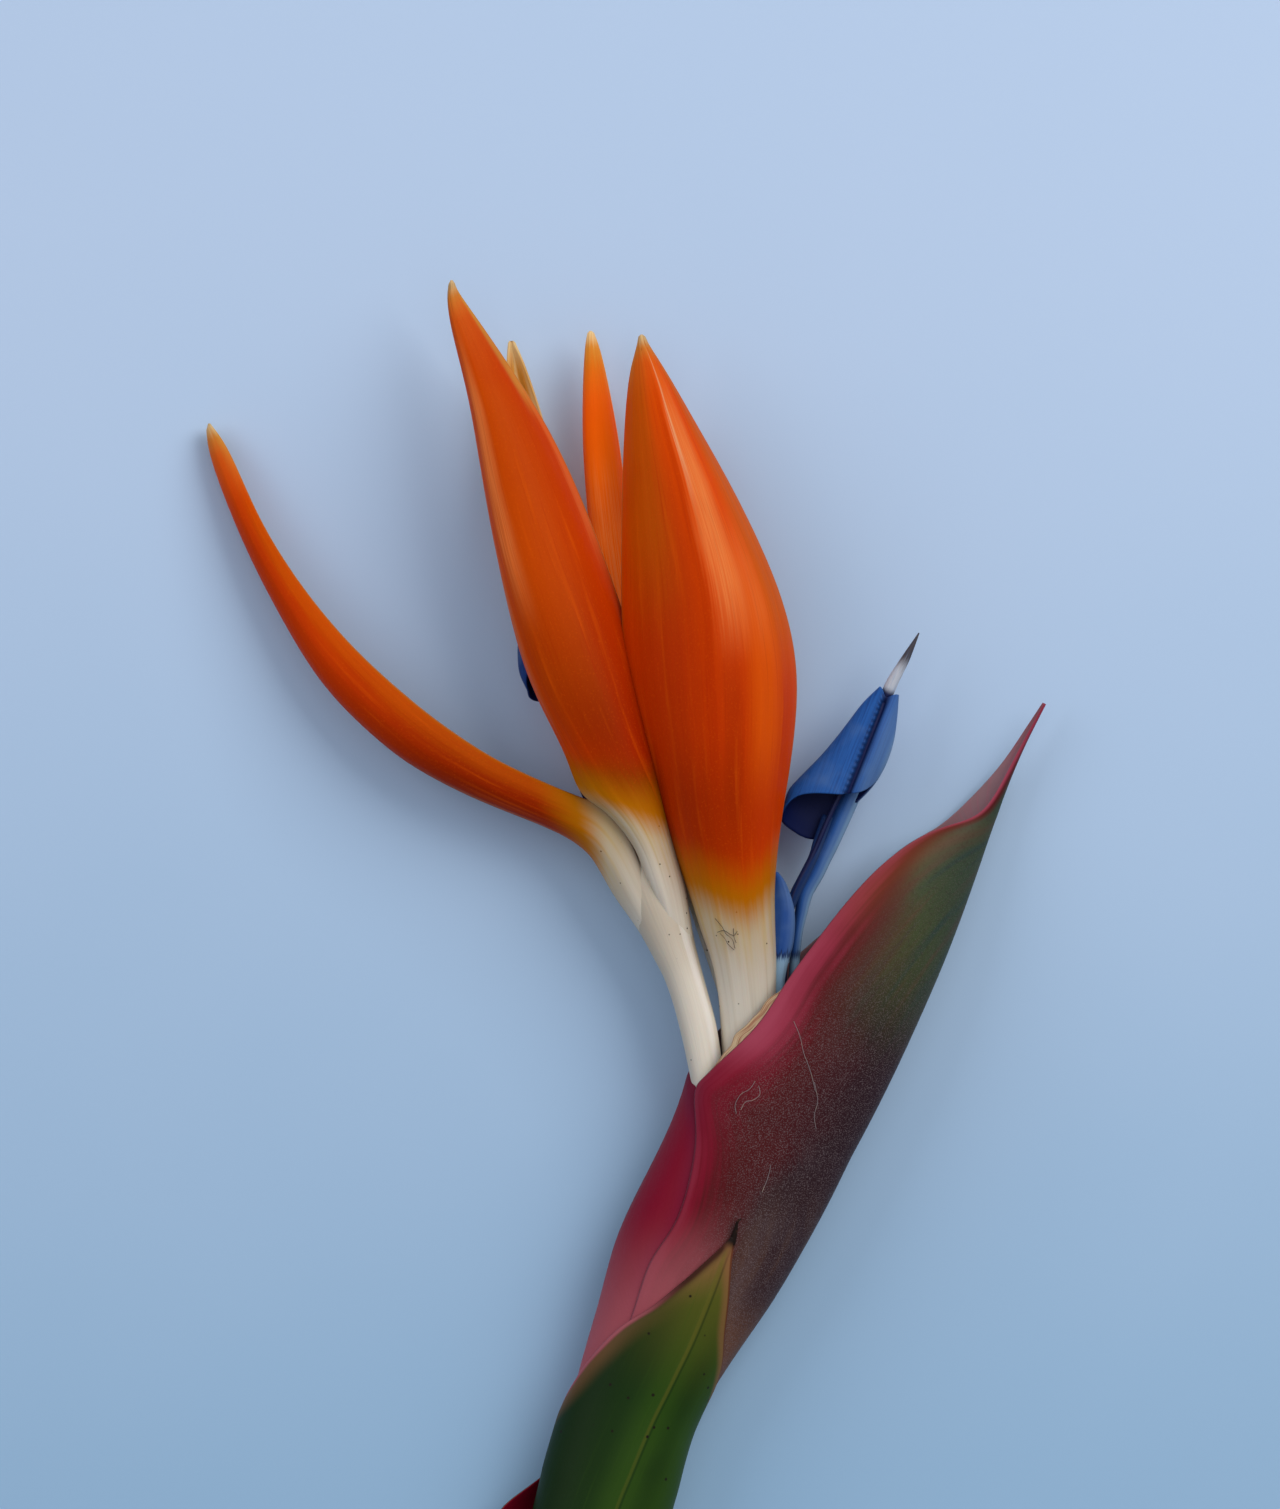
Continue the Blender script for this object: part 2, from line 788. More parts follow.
@dataclass(frozen=True)
class Finish:
    """What dresses a piece.

    Attributes:
        name: Material name.
    """

    name: str

    def material(self) -> bpy.types.Material:
        """Its material, which is made only once.

        Returns:
            The material of this name.
        """
        made = bpy.data.materials.get(self.name)
        if made is None:
            paint = Paint(self.name)
            self.lay(paint)
            made = paint.material
        return made

    def lay(self, paint: Paint) -> None:
        """Lays colour, roughness and relief on the material in the making."""
        raise NotImplementedError


@dataclass(frozen=True)
class Band:
    """A soft-edged area of another colour on a blade.

    Attributes:
        ink: Its colour.
        centre, half: Middle and half width across, from -1 at one margin to 1 at the other.
        start, end: Where it begins and ends, in millimetres back from the tip.
        strength: Its cover in the middle, 0 to 1.
        fade: Millimetres over which both ends fade.
        streaky: How much of it breaks up into fine lines, 0 to 1.
    """

    ink: Ink
    centre: float
    half: float
    start: float
    end: float
    strength: float = 0.6
    fade: float = 16.0
    streaky: float = 0.0

    def layer(self, left: Value, across: Value, line: Value) -> tuple[Ink, Value]:
        """The band as a layer of a finish.

        Args:
            left: Millimetres back from the tip.
            across: Place across.
            line: Noise in fine lines.

        Returns:
            Its colour and its mask.
        """
        side = abs(across - self.centre).step(self.half, self.half * 0.2)
        half_fade = self.fade / 2
        reach = left.step(self.start - half_fade, self.start + half_fade)
        cover = side * reach * left.step(self.end + half_fade, self.end - half_fade) * self.strength
        if self.streaky:
            cover = cover * (line.step(0.42, 0.58) * self.streaky + (1 - self.streaky))
        return self.ink, cover


@dataclass(frozen=True)
class SepalFinish(Finish):
    """Orange sepal: golden at the tip, amber, then cream at the claw, with bands over it.

    Attributes:
        bands: Areas of other colours.
        pale_tip: Length of the pale tip in millimetres.
        streaks: Depth of the fine lengthwise lines in millimetres.
        glow: Light let through from behind.
        seed: Shifts the noise from sepal to sepal.
    """

    bands: tuple = ()
    pale_tip: float = 7.0
    streaks: float = 0.05
    glow: float = 0.0
    seed: float = 0.0

    def lay(self, paint: Paint) -> None:
        """Lays its layers on the material.

        Args:
            paint: The material in the making.
        """
        rise, left, across = paint.marks("rise", "left", "across")
        grain = paint.fibres(rise * 0.035, across * 9, 3, self.seed)
        line = paint.fibres(rise * 0.05, across * 46, 2, self.seed)
        cloud = paint.noise(paint.place, 60, 2)
        fine = paint.noise(paint.place, 2600, 2)
        edge = abs(across)
        swayed = across + (line - 0.5) * 0.14 + (cloud - 0.5) * 0.1
        tip = left + (grain - 0.5) * 3
        orange = paint.layers(
            Ink.ORANGE,
            *(band.layer(left, swayed, line) for band in self.bands),
            (Ink.LIGHT_ORANGE, grain.step(0.54, 0.74) * 0.25),
            (Ink.DEEP_ORANGE, line.step(0.56, 0.7) * 0.2 + cloud.step(0.5, 0.8) * 0.2),
            (Ink.LIGHT_ORANGE, fine.step(0.56, 0.7) * 0.12),
            (Ink.AMBER, edge.step(0.93, 1) * 0.45),
            (Ink.TIP_GOLD, tip.step(self.pale_tip * 2.4, 0) * (edge.step(0.6, 1) * 0.6 + 0.2)),
            (Ink.TIP_GOLD, tip.step(self.pale_tip, 0) * 0.75),
            (Ink.TIP_CREAM, tip.step(self.pale_tip * 0.45, 0) * 0.6),
            (Ink.TIP_CREAM, edge.step(0.975, 1) * 0.3),
        )
        ragged = rise + (grain - 0.5) * 3 + (line - 0.5) * 1.2 + (cloud - 0.5) * 5
        claw = paint.layers(
            Ink.CREAM,
            (Ink.OLIVE_TAN, edge.step(0.55, 1) * 0.3 + ragged.step(-24, -3) * 0.5),
            (Ink.CLAW_YELLOW, ragged.step(-16, -4) * (grain.step(0.4, 0.7) * 0.4 + 0.2)),
            (Ink.OLIVE_TAN, grain.step(0.5, 0.8) * 0.18),
            (Ink.ROSE_TAN, line.step(0.5, 0.75) * 0.2),
            (Ink.BLACK_BROWN, paint.specks(560, 0.13, 0.42)),
        )
        colour = paint.layers(
            claw,
            (Ink.AMBER, ragged.step(-7.5, 1)),
            (orange, ragged.step(-2, 10)),
        )
        more = {"Subsurface_Weight": 0.08, "Subsurface_Scale": 0.0012}
        more |= {"Specular_IOR_Level": 0.08, "Specular_Tint": (1, 0.62, 0.3, 1)}
        if self.glow:
            more["Emission_Color"] = paint.blend((0, 0, 0), colour, ragged.step(0, 10))
            more["Emission_Strength"] = self.glow
        relief = line * 0.6 + grain * 0.3 + fine * 0.1
        paint.finish(colour, 0.36 + grain * 0.12 + fine * 0.06, relief, self.streaks, **more)


@dataclass(frozen=True)
class ClawFinish(Finish):
    """Cream-white tube: faint lengthwise streaks, tan sides and a few dark specks.

    Attributes:
        tan_from: Where it starts to turn tan towards the sepals, in millimetres from its foot.
    """

    tan_from: float = 50.0

    def lay(self, paint: Paint) -> None:
        """Lays its layers on the material.

        Args:
            paint: The material in the making.
        """
        rise, across = paint.marks("rise", "across")
        line = paint.fibres(rise * 0.05, across * 14)
        cloud = paint.noise(paint.place, 90, 2)
        colour = paint.layers(
            Ink.CREAM,
            (Ink.OLIVE_TAN, (across * -1).step(0.45, 1) * 0.3),
            (Ink.OLIVE_TAN, rise.step(self.tan_from, self.tan_from + 26) * 0.4),
            (Ink.WHITE_SHEEN, abs(across - 0.7 + (line - 0.5) * 0.3).step(0.26, 0.05) * 0.7),
            (Ink.ROSE_TAN, line.step(0.5, 0.8) * 0.16 + cloud.step(0.55, 0.8) * 0.12),
            (Ink.BLACK_BROWN, paint.specks(560, 0.13, 0.42)),
        )
        soft = {"Subsurface_Weight": 0.12, "Subsurface_Scale": 0.002}
        paint.finish(colour, 0.34 + cloud * 0.12, line, 0.06, **soft)


@dataclass(frozen=True)
class PetalFinish(Finish):
    """Blue petal tissue, navy inside, with fine lengthwise veins.

    Attributes:
        light, dark: Its two blues.
    """

    light: Ink
    dark: Ink

    def lay(self, paint: Paint) -> None:
        """Lays its layers on the material.

        Args:
            paint: The material in the making.
        """
        rise, across, outer, deep = paint.marks("rise", "across", "outer", "deep")
        line = paint.fibres(rise * 0.12, across * 16)
        cloud = paint.noise(paint.place, 170, 3)
        foot = rise + (line - 0.5) * 4
        colour = paint.layers(
            self.light,
            (self.dark, line.step(0.42, 0.68) * 0.6),
            (Ink.DUSTY_BLUE, across.step(0.1, 0.7) * 0.6),
            (Ink.PALE_BLUE, across.step(0.8, 1.3) * 0.45),
            (Ink.DUSTY_BLUE, cloud.step(0.5, 0.8) * 0.35),
            (Ink.PALE_BLUE, foot.step(10.5, 8.5) * 0.85),
            (Ink.NAVY, abs(foot - 10).step(0.8, 0.2) * 0.7),
            (Ink.INNER_NAVY, outer.step(0.9, 0.3)),
            (Ink.NAVY, deep),
        )
        paint.finish(colour, 0.4 + cloud * 0.12, line, 0.05, Specular_IOR_Level=0.12)


@dataclass(frozen=True)
class StigmaFinish(Finish):
    """White stigma that turns grey-brown towards its point."""

    def lay(self, paint: Paint) -> None:
        """Lays its layers on the material.

        Args:
            paint: The material in the making.
        """
        left, across = paint.marks("left", "across")
        line = paint.fibres(left * 0.3, across * 6)
        colour = paint.layers(
            Ink.WHITE,
            (Ink.PALE_BLUE, line.step(0.5, 0.8) * 0.5),
            (Ink.GREY_BROWN, (left + (line - 0.5) * 4).step(8, 4.6)),
            (Ink.DUSTY_BLUE, line.step(0.5, 0.75) * 0.4),
            (Ink.INNER_NAVY, left.step(11, 12.5)),
        )
        paint.finish(colour, 0.5, line, 0.05, Specular_IOR_Level=0.35)


@dataclass(frozen=True)
class SpatheFinish(Finish):
    """Spathe: pink lips, crimson flank, purple-brown to green belly with a pale bloom."""

    def lay(self, paint: Paint) -> None:
        """Lays its layers on the material.

        Args:
            paint: The material in the making.
        """
        near, far, place, outer = paint.marks("near", "far", "rise", "outer")
        x, y, z = paint.axes()
        fibre = paint.fibres(place * 0.03, near * 0.9)
        streak = paint.fibres(place * 0.035, near * 0.32)
        cloud = paint.noise(paint.place, 55, 3, 0.4)
        fine = paint.noise(paint.place, 1900, 2)
        dust = paint.noise(paint.place, 5200, 1)
        wander = (cloud - 0.5) * 7
        green = (y + x * 0.25 + wander + fibre * 6).step(16, 46)
        low = (y + wander).step(-10, -46)
        belly = paint.layers(
            Ink.BELLY_PURPLE,
            (Ink.BELLY_GREEN, green),
            (Ink.BELLY_BROWN, streak.step(0.5, 0.3) * green * 0.6),
            (Ink.BELLY_TEAL, streak.step(0.5, 0.7) * green * 0.7),
            (Ink.BELLY_TEAL, z.step(19, 11) * green * 0.5),
            (Ink.BEIGE, low * (0.12 + (x - y * 0.44).step(39.5, 34) * 0.45)),
            (Ink.SHEATH_TAN, y.step(-35, -46) * 0.35),
            (Ink.BELLY_BROWN, low * streak.step(0.44, 0.6) * 0.6),
            (Ink.BLOOM, cloud.step(0.5, 0.8) * (1 - green) * 0.12),
            (Ink.BELLY_PURPLE, fine.step(0.5, 0.7) * 0.25),
        )
        narrow = place.step(106, 138) * 0.88 - place.step(88, 70) * 0.2
        shut = place.step(76, 58)
        vee = place.step(60, 72) * place.step(102, 88)
        lip = (near + (wander * 0.6 + (fibre - 0.5) * 4) * (1 - narrow)) / (1 - narrow)
        lip = lip * (1 + shut * 0.4 - vee * 0.28)
        shoulder = place.step(104, 120) * place.step(142, 128)
        waist = abs(y + 14).step(13, 3)
        outside = paint.layers(
            belly,
            (Ink.RED_BROWN, lip.step(18, 6) * 0.9),
            (Ink.CRIMSON, lip.step(9, 1.5) * (0.9 - place.step(116, 142) * 0.45)),
            (Ink.RED_BROWN, waist * lip.step(2, 7) * lip.step(18, 11) * 0.5),
            (Ink.RED_BROWN, fibre.step(0.45, 0.7) * lip.step(1, 5) * lip.step(13, 7) * 0.45),
            (Ink.PINK, lip.step(2.6, 0.3) * 0.12 + lip.step(7, 0.5) * place.step(76, 86) * 0.36),
            (Ink.MEMBRANE_DARK, near.step(9, 2) * shoulder * 0.3),
            (Ink.BLOOM, dust.step(0.55, 0.61) * (1 - green * 0.7) * near.step(2.5, 12) * 0.34),
            (Ink.SHEATH_PINK, lip.step(15, 6) * (y + wander).step(-18, -36) * 0.75),
        )
        flank = far + wander * 0.5
        side = paint.layers(
            Ink.CRIMSON,
            (Ink.MAGENTA, flank.step(8, 2) * 0.4),
            (Ink.RED_BROWN, flank.step(9, 1) * (y + wander).step(-44, -16) * 0.55),
            (Ink.SHEATH_PINK, (y + wander).step(-18, -46) * 0.85),
        )
        outside = paint.blend(outside, side, far.step(24, 15) * place.step(90, 74))
        inside = paint.layers(
            Ink.MAUVE,
            (Ink.BELLY_GREEN, cloud.step(0.4, 0.7) * 0.3),
            (Ink.PINK, fibre.step(0.45, 0.7) * 0.2),
        )
        colour = paint.layers(
            outside,
            (inside, outer.step(0.7, 0.3)),
            (Ink.CRIMSON, place.step(144, 168) * 0.6),
            (Ink.BLACK_BROWN, place.step(171, 174) * 0.6),
        )
        relief = fine * 0.4 + fibre * 0.6
        paint.finish(colour, 0.4 + fine * 0.12, relief, 0.06, Specular_IOR_Level=0.07)


@dataclass(frozen=True)
class LeafFinish(Finish):
    """Green sheath: bright midrib, dark flanks, pink left and tan right margin, dark specks.

    Attributes:
        margin: Colour of the left margin.
        rib: Strength of the pale midrib.
        tip: Length over which the green turns olive towards the tip, in millimetres.
    """

    margin: Ink
    rib: float = 1.0
    tip: float = 34.0

    def lay(self, paint: Paint) -> None:
        """Lays its layers on the material.

        Args:
            paint: The material in the making.
        """
        near, far, left, rib, outer = paint.marks("near", "far", "left", "rib", "outer")
        line = paint.fibres(left * 0.03, rib * 1.6)
        cloud = paint.noise(paint.place, 70, 3)
        fine = paint.noise(paint.place, 1500, 2)
        green = paint.layers(
            Ink.LEAF_GREEN,
            (Ink.LEAF_BRIGHT, abs(rib).step(6, 0.5) * 0.5),
            (Ink.LEAF_DARK, (cloud + rib * 0.03).step(0.5, 0.85) * 0.4),
            (Ink.LEAF_OLIVE, left.step(self.tip, 4) * 0.75),
            (Ink.SHEATH_TAN, (left + rib * 0.8).step(13, 3) * 0.6),
            (Ink.LEAF_BRIGHT, line.step(0.55, 0.75) * 0.2),
            (Ink.LEAF_BRIGHT, rib.step(2, 9) * 0.5),
            (Ink.LEAF_DARK, rib.step(-2, -13) * 0.6),
            (Ink.SHEATH_TAN, near.step(5.5, 1) * left.step(12, 30) * 0.45 * self.rib),
            (Ink.LEAF_OLIVE, abs(rib).step(0.45, 0.1) * (left.step(60, 10) * 0.3 + 0.2) * self.rib),
            (Ink.LEAF_DARK, abs(rib - 0.5).step(0.35, 0.05) * 0.45 * self.rib),
            (Ink.BLACK_BROWN, paint.specks(300, 0.12, 0.5)),
            (Ink.BLACK_BROWN, (cloud - abs(rib - 3) * 0.05).step(0.63, 0.74) * 0.35 * self.rib),
        )
        wander = (cloud - 0.5) * 2.4
        colour = paint.layers(
            green,
            (Ink.RED_BROWN, (near + wander * 0.4).step(1.3, 0.4) * 0.8),
            (Ink.BLACK_BROWN, near.step(2, 0.4) * left.step(24, 8) * 0.6),
            (self.margin, (near + wander * 0.4).step(1.3, 0.4) * left.step(10, 24) * 0.9),
            (Ink.SHEATH_TAN, (far + wander * 0.5).step(2.4, 0.7) * 0.55 * self.rib),
            (Ink.RED_BROWN, far.step(0.6, 0.3) * 0.7 * self.rib),
            (Ink.BLACK_BROWN, left.step(2.4, 0.6)),
            (Ink.CRIMSON, outer.step(0.6, 0.3)),
        )
        relief = line * 0.6 + fine * 0.4
        paint.finish(colour, 0.4 + cloud * 0.12, relief, 0.05, Specular_IOR_Level=0.1)


@dataclass(frozen=True)
class MembraneFinish(Finish):
    """Dry papery bract: tan with brown streaks along its rim."""

    def lay(self, paint: Paint) -> None:
        """Lays its layers on the material.

        Args:
            paint: The material in the making.
        """
        near, rise = paint.marks("near", "rise")
        line = paint.fibres(rise * 0.12, near * 3.6)
        colour = paint.layers(
            Ink.MEMBRANE,
            (Ink.MEMBRANE_DARK, line.step(0.42, 0.6) * 0.85),
            (Ink.TIP_CREAM, line.step(0.66, 0.8) * 0.6),
        )
        paint.finish(colour, 0.6, line, 0.12)


@dataclass(frozen=True)
class StemFinish(Finish):
    """Green stalk with a pale fibrous cut face at its foot.

    Attributes:
        cut_slope: Share of x that is added to y, so that the sum is even over the cut face.
        cut_from, cut_to: That sum where the cut face's colour starts and where it is full.
    """

    cut_slope: float = 0.34
    cut_from: float = -152.6
    cut_to: float = -153.6

    def lay(self, paint: Paint) -> None:
        """Lays its layers on the material.

        Args:
            paint: The material in the making.
        """
        rise, across = paint.marks("rise", "across")
        x, y, _ = paint.axes()
        line = paint.fibres(rise * 0.03, across * 8)
        dots = paint.specks(900, 0.35, 0.8)
        cut = (y + x * self.cut_slope).step(self.cut_from, self.cut_to)
        face = paint.layers(
            Ink.LEAF_OLIVE,
            (Ink.TIP_CREAM, dots * 0.7),
            (Ink.LEAF_GREEN, line * 0.3),
        )
        side = paint.layers(
            Ink.LEAF_GREEN,
            (Ink.LEAF_BRIGHT, line.step(0.5, 0.75) * 0.4),
            (Ink.LEAF_DARK, line.step(0.5, 0.3) * 0.5),
        )
        paint.finish(paint.blend(side, face, cut), 0.45, line, 0.06)


@dataclass(frozen=True)
class WitheredFinish(Finish):
    """Black-brown dry tip."""

    def lay(self, paint: Paint) -> None:
        """Lays its layers on the material.

        Args:
            paint: The material in the making.
        """
        grain = paint.noise(paint.place, 900, 3)
        brown = paint.blend(Ink.BLACK_BROWN, Ink.MEMBRANE_DARK, grain.step(0.55, 0.8) * 0.4)
        paint.finish(brown, 0.7, grain, 0.1, Specular_IOR_Level=0.1)


@dataclass(frozen=True)
class BudFinish(Finish):
    """Unopened flower: cream at the foot, amber and then orange towards the point."""

    def lay(self, paint: Paint) -> None:
        """Lays its layers on the material.

        Args:
            paint: The material in the making.
        """
        rise, left, across = paint.marks("rise", "left", "across")
        line = paint.fibres(rise * 0.05, across * 6)
        colour = paint.layers(
            Ink.CREAM,
            (Ink.AMBER, left.step(46, 20)),
            (Ink.ORANGE, left.step(30, 6) * 0.7),
            (Ink.LEAF_OLIVE, line.step(0.5, 0.75) * 0.3),
        )
        paint.finish(colour, 0.45, line, 0.08)


@dataclass(frozen=True)
class HairFinish(Finish):
    """Dry hair.

    Attributes:
        ink: Its colour.
    """

    ink: Ink

    def lay(self, paint: Paint) -> None:
        """Lays its layers on the material.

        Args:
            paint: The material in the making.
        """
        grain = paint.noise(paint.place, 700, 2)
        paint.finish(paint.blend(self.ink, Ink.MEMBRANE, grain.step(0.5, 0.8) * 0.4), 0.6)


@dataclass(frozen=True)
class FloorFinish(Finish):
    """Pale blue surface, a little deeper towards the foot of the picture.

    Attributes:
        high, low: Its colours.
        low_from, low_to: Millimetres down the picture over which the lower colour comes in.
    """

    high: Colour = srgb(192, 213, 241)
    low: Colour = srgb(140, 184, 218)
    low_from: float = -170.0
    low_to: float = 190.0

    def lay(self, paint: Paint) -> None:
        """Lays its layers on the material.

        Args:
            paint: The material in the making.
        """
        mottle = paint.noise(paint.place, 9, 3)
        y = paint.axes()[1]
        lower = (y * -1 + (mottle - 0.5) * 40).step(self.low_from, self.low_to)
        paint.finish(paint.layers(self.high, (self.low, lower * 0.9 + mottle * 0.1)), 0.9)


# The parts of the flower head


@dataclass
class StemParts:
    """Cut stem and the two sheaths that wrap it.

    Attributes:
        stem_stations: Stations of the stem.
        upper_spans, lower_spans: Place along the rings, right and left margin angle, for a sheath.
        lower_rings: Rings of the lower sheath.
        rib_places, rib_angles: Where the midrib runs, by place along the rings and angle.
        hook_stations: Stations of the withered hook at the tip of the upper sheath.
        rib_settle: Share of the midrib's length over which its corners are evened out.
        wall, margin_share: Thickness of a sheath, and how much of it is left at the margins.
        margin_reach: Millimetres from a margin to the full thickness.
        rows, columns: Points along and across a sheath.
    """

    stem_stations: tuple = (
        (-28.4, -144.3, 7.3, 7.2, 7.1), (-23.7, -131, 7.9, 7.3, 7), (-18.9, -118, 8.9, 7.6, 6.8),
        (-14.2, -104, 9.6, 8, 6.6), (-9.3, -89, 10.2, 7.8, 6), (-4, -74.7, 10.2, 6.4, 4.8),
        (0.8, -60.5, 10.3, 7.2, 5), (4.4, -50, 10.8, 9.2, 6.2), (8.8, -39, 11.2, 10.8, 7),
    )
    upper_spans: tuple = (
        (0, -88, 262), (1, -88, 262), (2, -86, 260), (3, -70, 238), (3.75, -28, 176), (4.3, 2, 148),
        (4.8, 27, 127), (5.3, 46, 107), (6, 60, 93), (6.65, 70, 85), (7.12, 76.5, 79.5),
    )
    lower_rings: tuple = (
        (-10.4, -120.9, 18.4, 8.9, 7.8, 8.9, 0),
        (-4.4, -108.2, 18.4, 10.8, 9.3, 9.8, 0),
        (1.5, -95.5, 18.4, 13.2, 10.1, 10.5, 0),
        (6, -86, 18.4, 15.4, 10.2, 10.7, 0),
        (8.6, -79.2, 18.4, 14.2, 10.3, 10.8, 0),
        (10.2, -73.4, 18.4, 13.4, 10.4, 10.9, 0),
    )
    lower_spans: tuple = (
        (0, 27, 373), (0.8, 27, 372), (1.6, 45, 340), (2.3, 95, 302), (3, 178, 276), (4, 205, 262),
        (5, 231, 243),
    )
    rib_places: tuple = (0, 2.1, 2.9, 3.25, 3.7, 4.2, 4.7, 5.3, 6, 6.9, 7.2)
    rib_angles: tuple = (80, 79.2, 77.5, 75, 70.5, 67.5, 69, 71, 74, 78.2, 77.5)
    hook_stations: tuple = (
        (18.8, -26.7, 22.6, 0.6, 0.4), (19.2, -25.2, 22.9, 0.5, 0.38), (19.5, -24, 23.1, 0.38, 0.3),
        (19.65, -23.1, 23.3, 0.26, 0.24), (19.95, -22.4, 23.4, 0.2, 0.2),
        (20.6, -22.1, 23.3, 0.08, 0.08),
    )
    rib_settle: float = 0.03
    wall: float = 0.8
    margin_share: float = 0.55
    margin_reach: float = 2.5
    rows: int = 190
    columns: int = 71

    def sheath(self, rings: Stations, spans: Stations, rib: float = 0.0) -> Patch:
        """A bract between two margin angles on rings.

        The midrib stands out by exp(-(m / 0.6)^2) - 0.4 exp(-((m + 0.7) / 0.4)^2) times its
        height, with m the millimetres from its line: a ridge with a groove beside it.

        Args:
            rings: The rings it lies on.
            spans: Place along the rings, right and left margin angle.
            rib: Height of the midrib in millimetres.

        Returns:
            Its closed patch, with marks for both margins, the tip and the midrib.
        """
        place, right, left = along(spans, np.linspace(0, 1, self.rows)).T
        ring = along(rings, place / (len(rings) - 1))
        s = spread(self.columns)
        degrees = left[:, None] + (right - left)[:, None] * (s + 1) / 2
        points = ring_points(ring, degrees)
        near, far = edge_distance(points)
        length = run_length(points[:, self.columns // 2])[:, None]
        ridge = settled(np.interp(place, self.rib_places, self.rib_angles)[:, None], self.rib_settle)
        rib_mark = np.radians(ridge - degrees) * ring[:, 3:4]
        lift = rib * (np.exp(-((rib_mark / 0.6) ** 2)) - 0.4 * np.exp(-(((rib_mark + 0.7) / 0.4) ** 2)))
        points = points + normals(points) * lift[..., None]
        inward = smooth(0, self.margin_reach, np.minimum(near, far))
        share = self.margin_share + (1 - self.margin_share) * inward
        wall = self.wall * margin_round(s) * share
        marks = {"near": near, "far": far, "left": length[-1] - length, "rib": rib_mark}
        return walled(points, wall, marks)

    def build(self) -> None:
        """Makes the stem, the sheaths and the withered hook."""
        stem = Stalk(self.stem_stations, ridges=(0.012, 9, 0.4), rows=120, sides=56)
        add_piece("cut_stem", [stem.patch()], StemFinish("stem_skin"), "stem_green", "stem")
        rings = [*LOWER_RINGS, *grown_rings(SPATHE_RINGS[2:8], SHEATH_STAND_OFF).tolist()]
        green = LeafFinish("green_sheath_skin", Ink.SHEATH_PINK)
        upper = self.sheath(rings, self.upper_spans, 0.16)
        add_piece("green_sheath", [upper], green, "stem_green", "upper_sheath")
        hook = Stalk(self.hook_stations, rows=24, sides=12)
        add_piece("withered_hook", [hook.patch()], WitheredFinish("withered_tip"), "stem_green")
        crimson = LeafFinish("lower_sheath_skin", Ink.CRIMSON, rib=0, tip=5)
        lower = self.sheath(self.lower_rings, self.lower_spans)
        add_piece("lower_sheath_leaf", [lower], crimson, "sheath_crimson", "lower_sheath")


@dataclass
class SpatheParts:
    """Boat-shaped bract and the papery bract at its near lip.

    Attributes:
        wall, lip_wall: Thickness of the spathe in its body, and at its lips and its point.
        lip_reach: Millimetres from a lip to the full thickness.
        lip_settle, ring_settle: Share of its length over which lips and rings are evened out.
        tuck: How far the covered far lip lies inside the near one where the base is rolled.
        tuck_turn: Degrees past the keel between which it goes in.
        paper_spans: Place along the rings, right and left margin angle of the papery bract.
        paper_wall, paper_gap: Its thickness, and its distance from the spathe.
        rows, columns: Points along and across the spathe.
        paper_rows, paper_columns: Points along and across the papery bract.
    """

    wall: float = 1.2
    lip_wall: float = 0.5
    lip_reach: float = 4.0
    lip_settle: float = 0.008
    ring_settle: float = 0.026
    tuck: float = 0.9
    tuck_turn: tuple = (160, 206)
    paper_spans: tuple = (
        (0.15, 122, 147), (0.6, 116, 144), (1.1, 112, 140), (1.6, 116, 140.5), (1.9, 128, 143.5),
    )
    paper_wall: float = 0.35
    paper_gap: float = 0.5
    rows: int = 300
    columns: int = 121
    paper_rows: int = 90
    paper_columns: int = 15

    def boat(self) -> Patch:
        """The spathe's wall, from the near lip round the keel to the far lip.

        Where it would go below the table it is pressed flat, as the flower rests on it.

        Returns:
            Its closed patch, with marks for both lips and the place along the keel.
        """
        t = np.linspace(0, 1, self.rows)
        near_lip, far_lip = settled(along(SPATHE_LIPS, t), self.lip_settle).T
        s = spread(self.columns)
        degrees = near_lip[:, None] - (near_lip + far_lip)[:, None] * (s + 1) / 2
        tuck = self.tuck * smooth(*self.tuck_turn, -degrees)
        ring = settled(along(SPATHE_RINGS, t), self.ring_settle)[:, None]
        ring = np.repeat(ring, self.columns, axis=1)
        points = ring_points(grown_rings(ring, -tuck), degrees)
        near, far = edge_distance(points)
        length = run_length(along(SPATHE_RINGS, t)[:, :2])[:, None]
        body = smooth(0, self.lip_reach, np.minimum(near, far)) * smooth(1, 0.8, t)[:, None]
        wall = (self.lip_wall + (self.wall - self.lip_wall) * body) * margin_round(s)
        points[..., 2] = np.maximum(points[..., 2], wall / 2)
        return walled(points, wall, {"near": near, "far": far, "rise": length})

    def paper(self) -> Patch:
        """The papery bract, its rim waved by 1.2 sin(23 t) + 0.7 sin(41 t + 1) degrees.

        Returns:
            Its closed patch, with marks for its margins and the place along its rim.
        """
        t = np.linspace(0, 1, self.paper_rows)
        place, right, left = along(self.paper_spans, t).T
        rings = grown_rings(SPATHE_RINGS[8:11], -(self.wall / 2 + self.paper_gap))
        ring = along(rings, place / (len(rings) - 1))
        s = spread(self.paper_columns)
        wave = 1.2 * np.sin(t * 23) + 0.7 * np.sin(t * 41 + 1)
        degrees = (left + wave)[:, None] + (right - left - wave)[:, None] * (s + 1) / 2
        points = ring_points(ring, degrees)
        near, far = edge_distance(points)
        wall = np.broadcast_to(self.paper_wall * margin_round(s), near.shape)
        length = run_length(points[:, 0])[:, None]
        return walled(points, wall, {"near": near, "far": far, "rise": length})

    def build(self) -> None:
        """Makes the spathe and the papery bract."""
        add_piece("boat_spathe", [self.boat()], SpatheFinish("spathe_skin"), "spathe", "spathe")
        dry = MembraneFinish("papery_skin")
        add_piece("papery_rim", [self.paper()], dry, "papery_bract", "papery_bract")


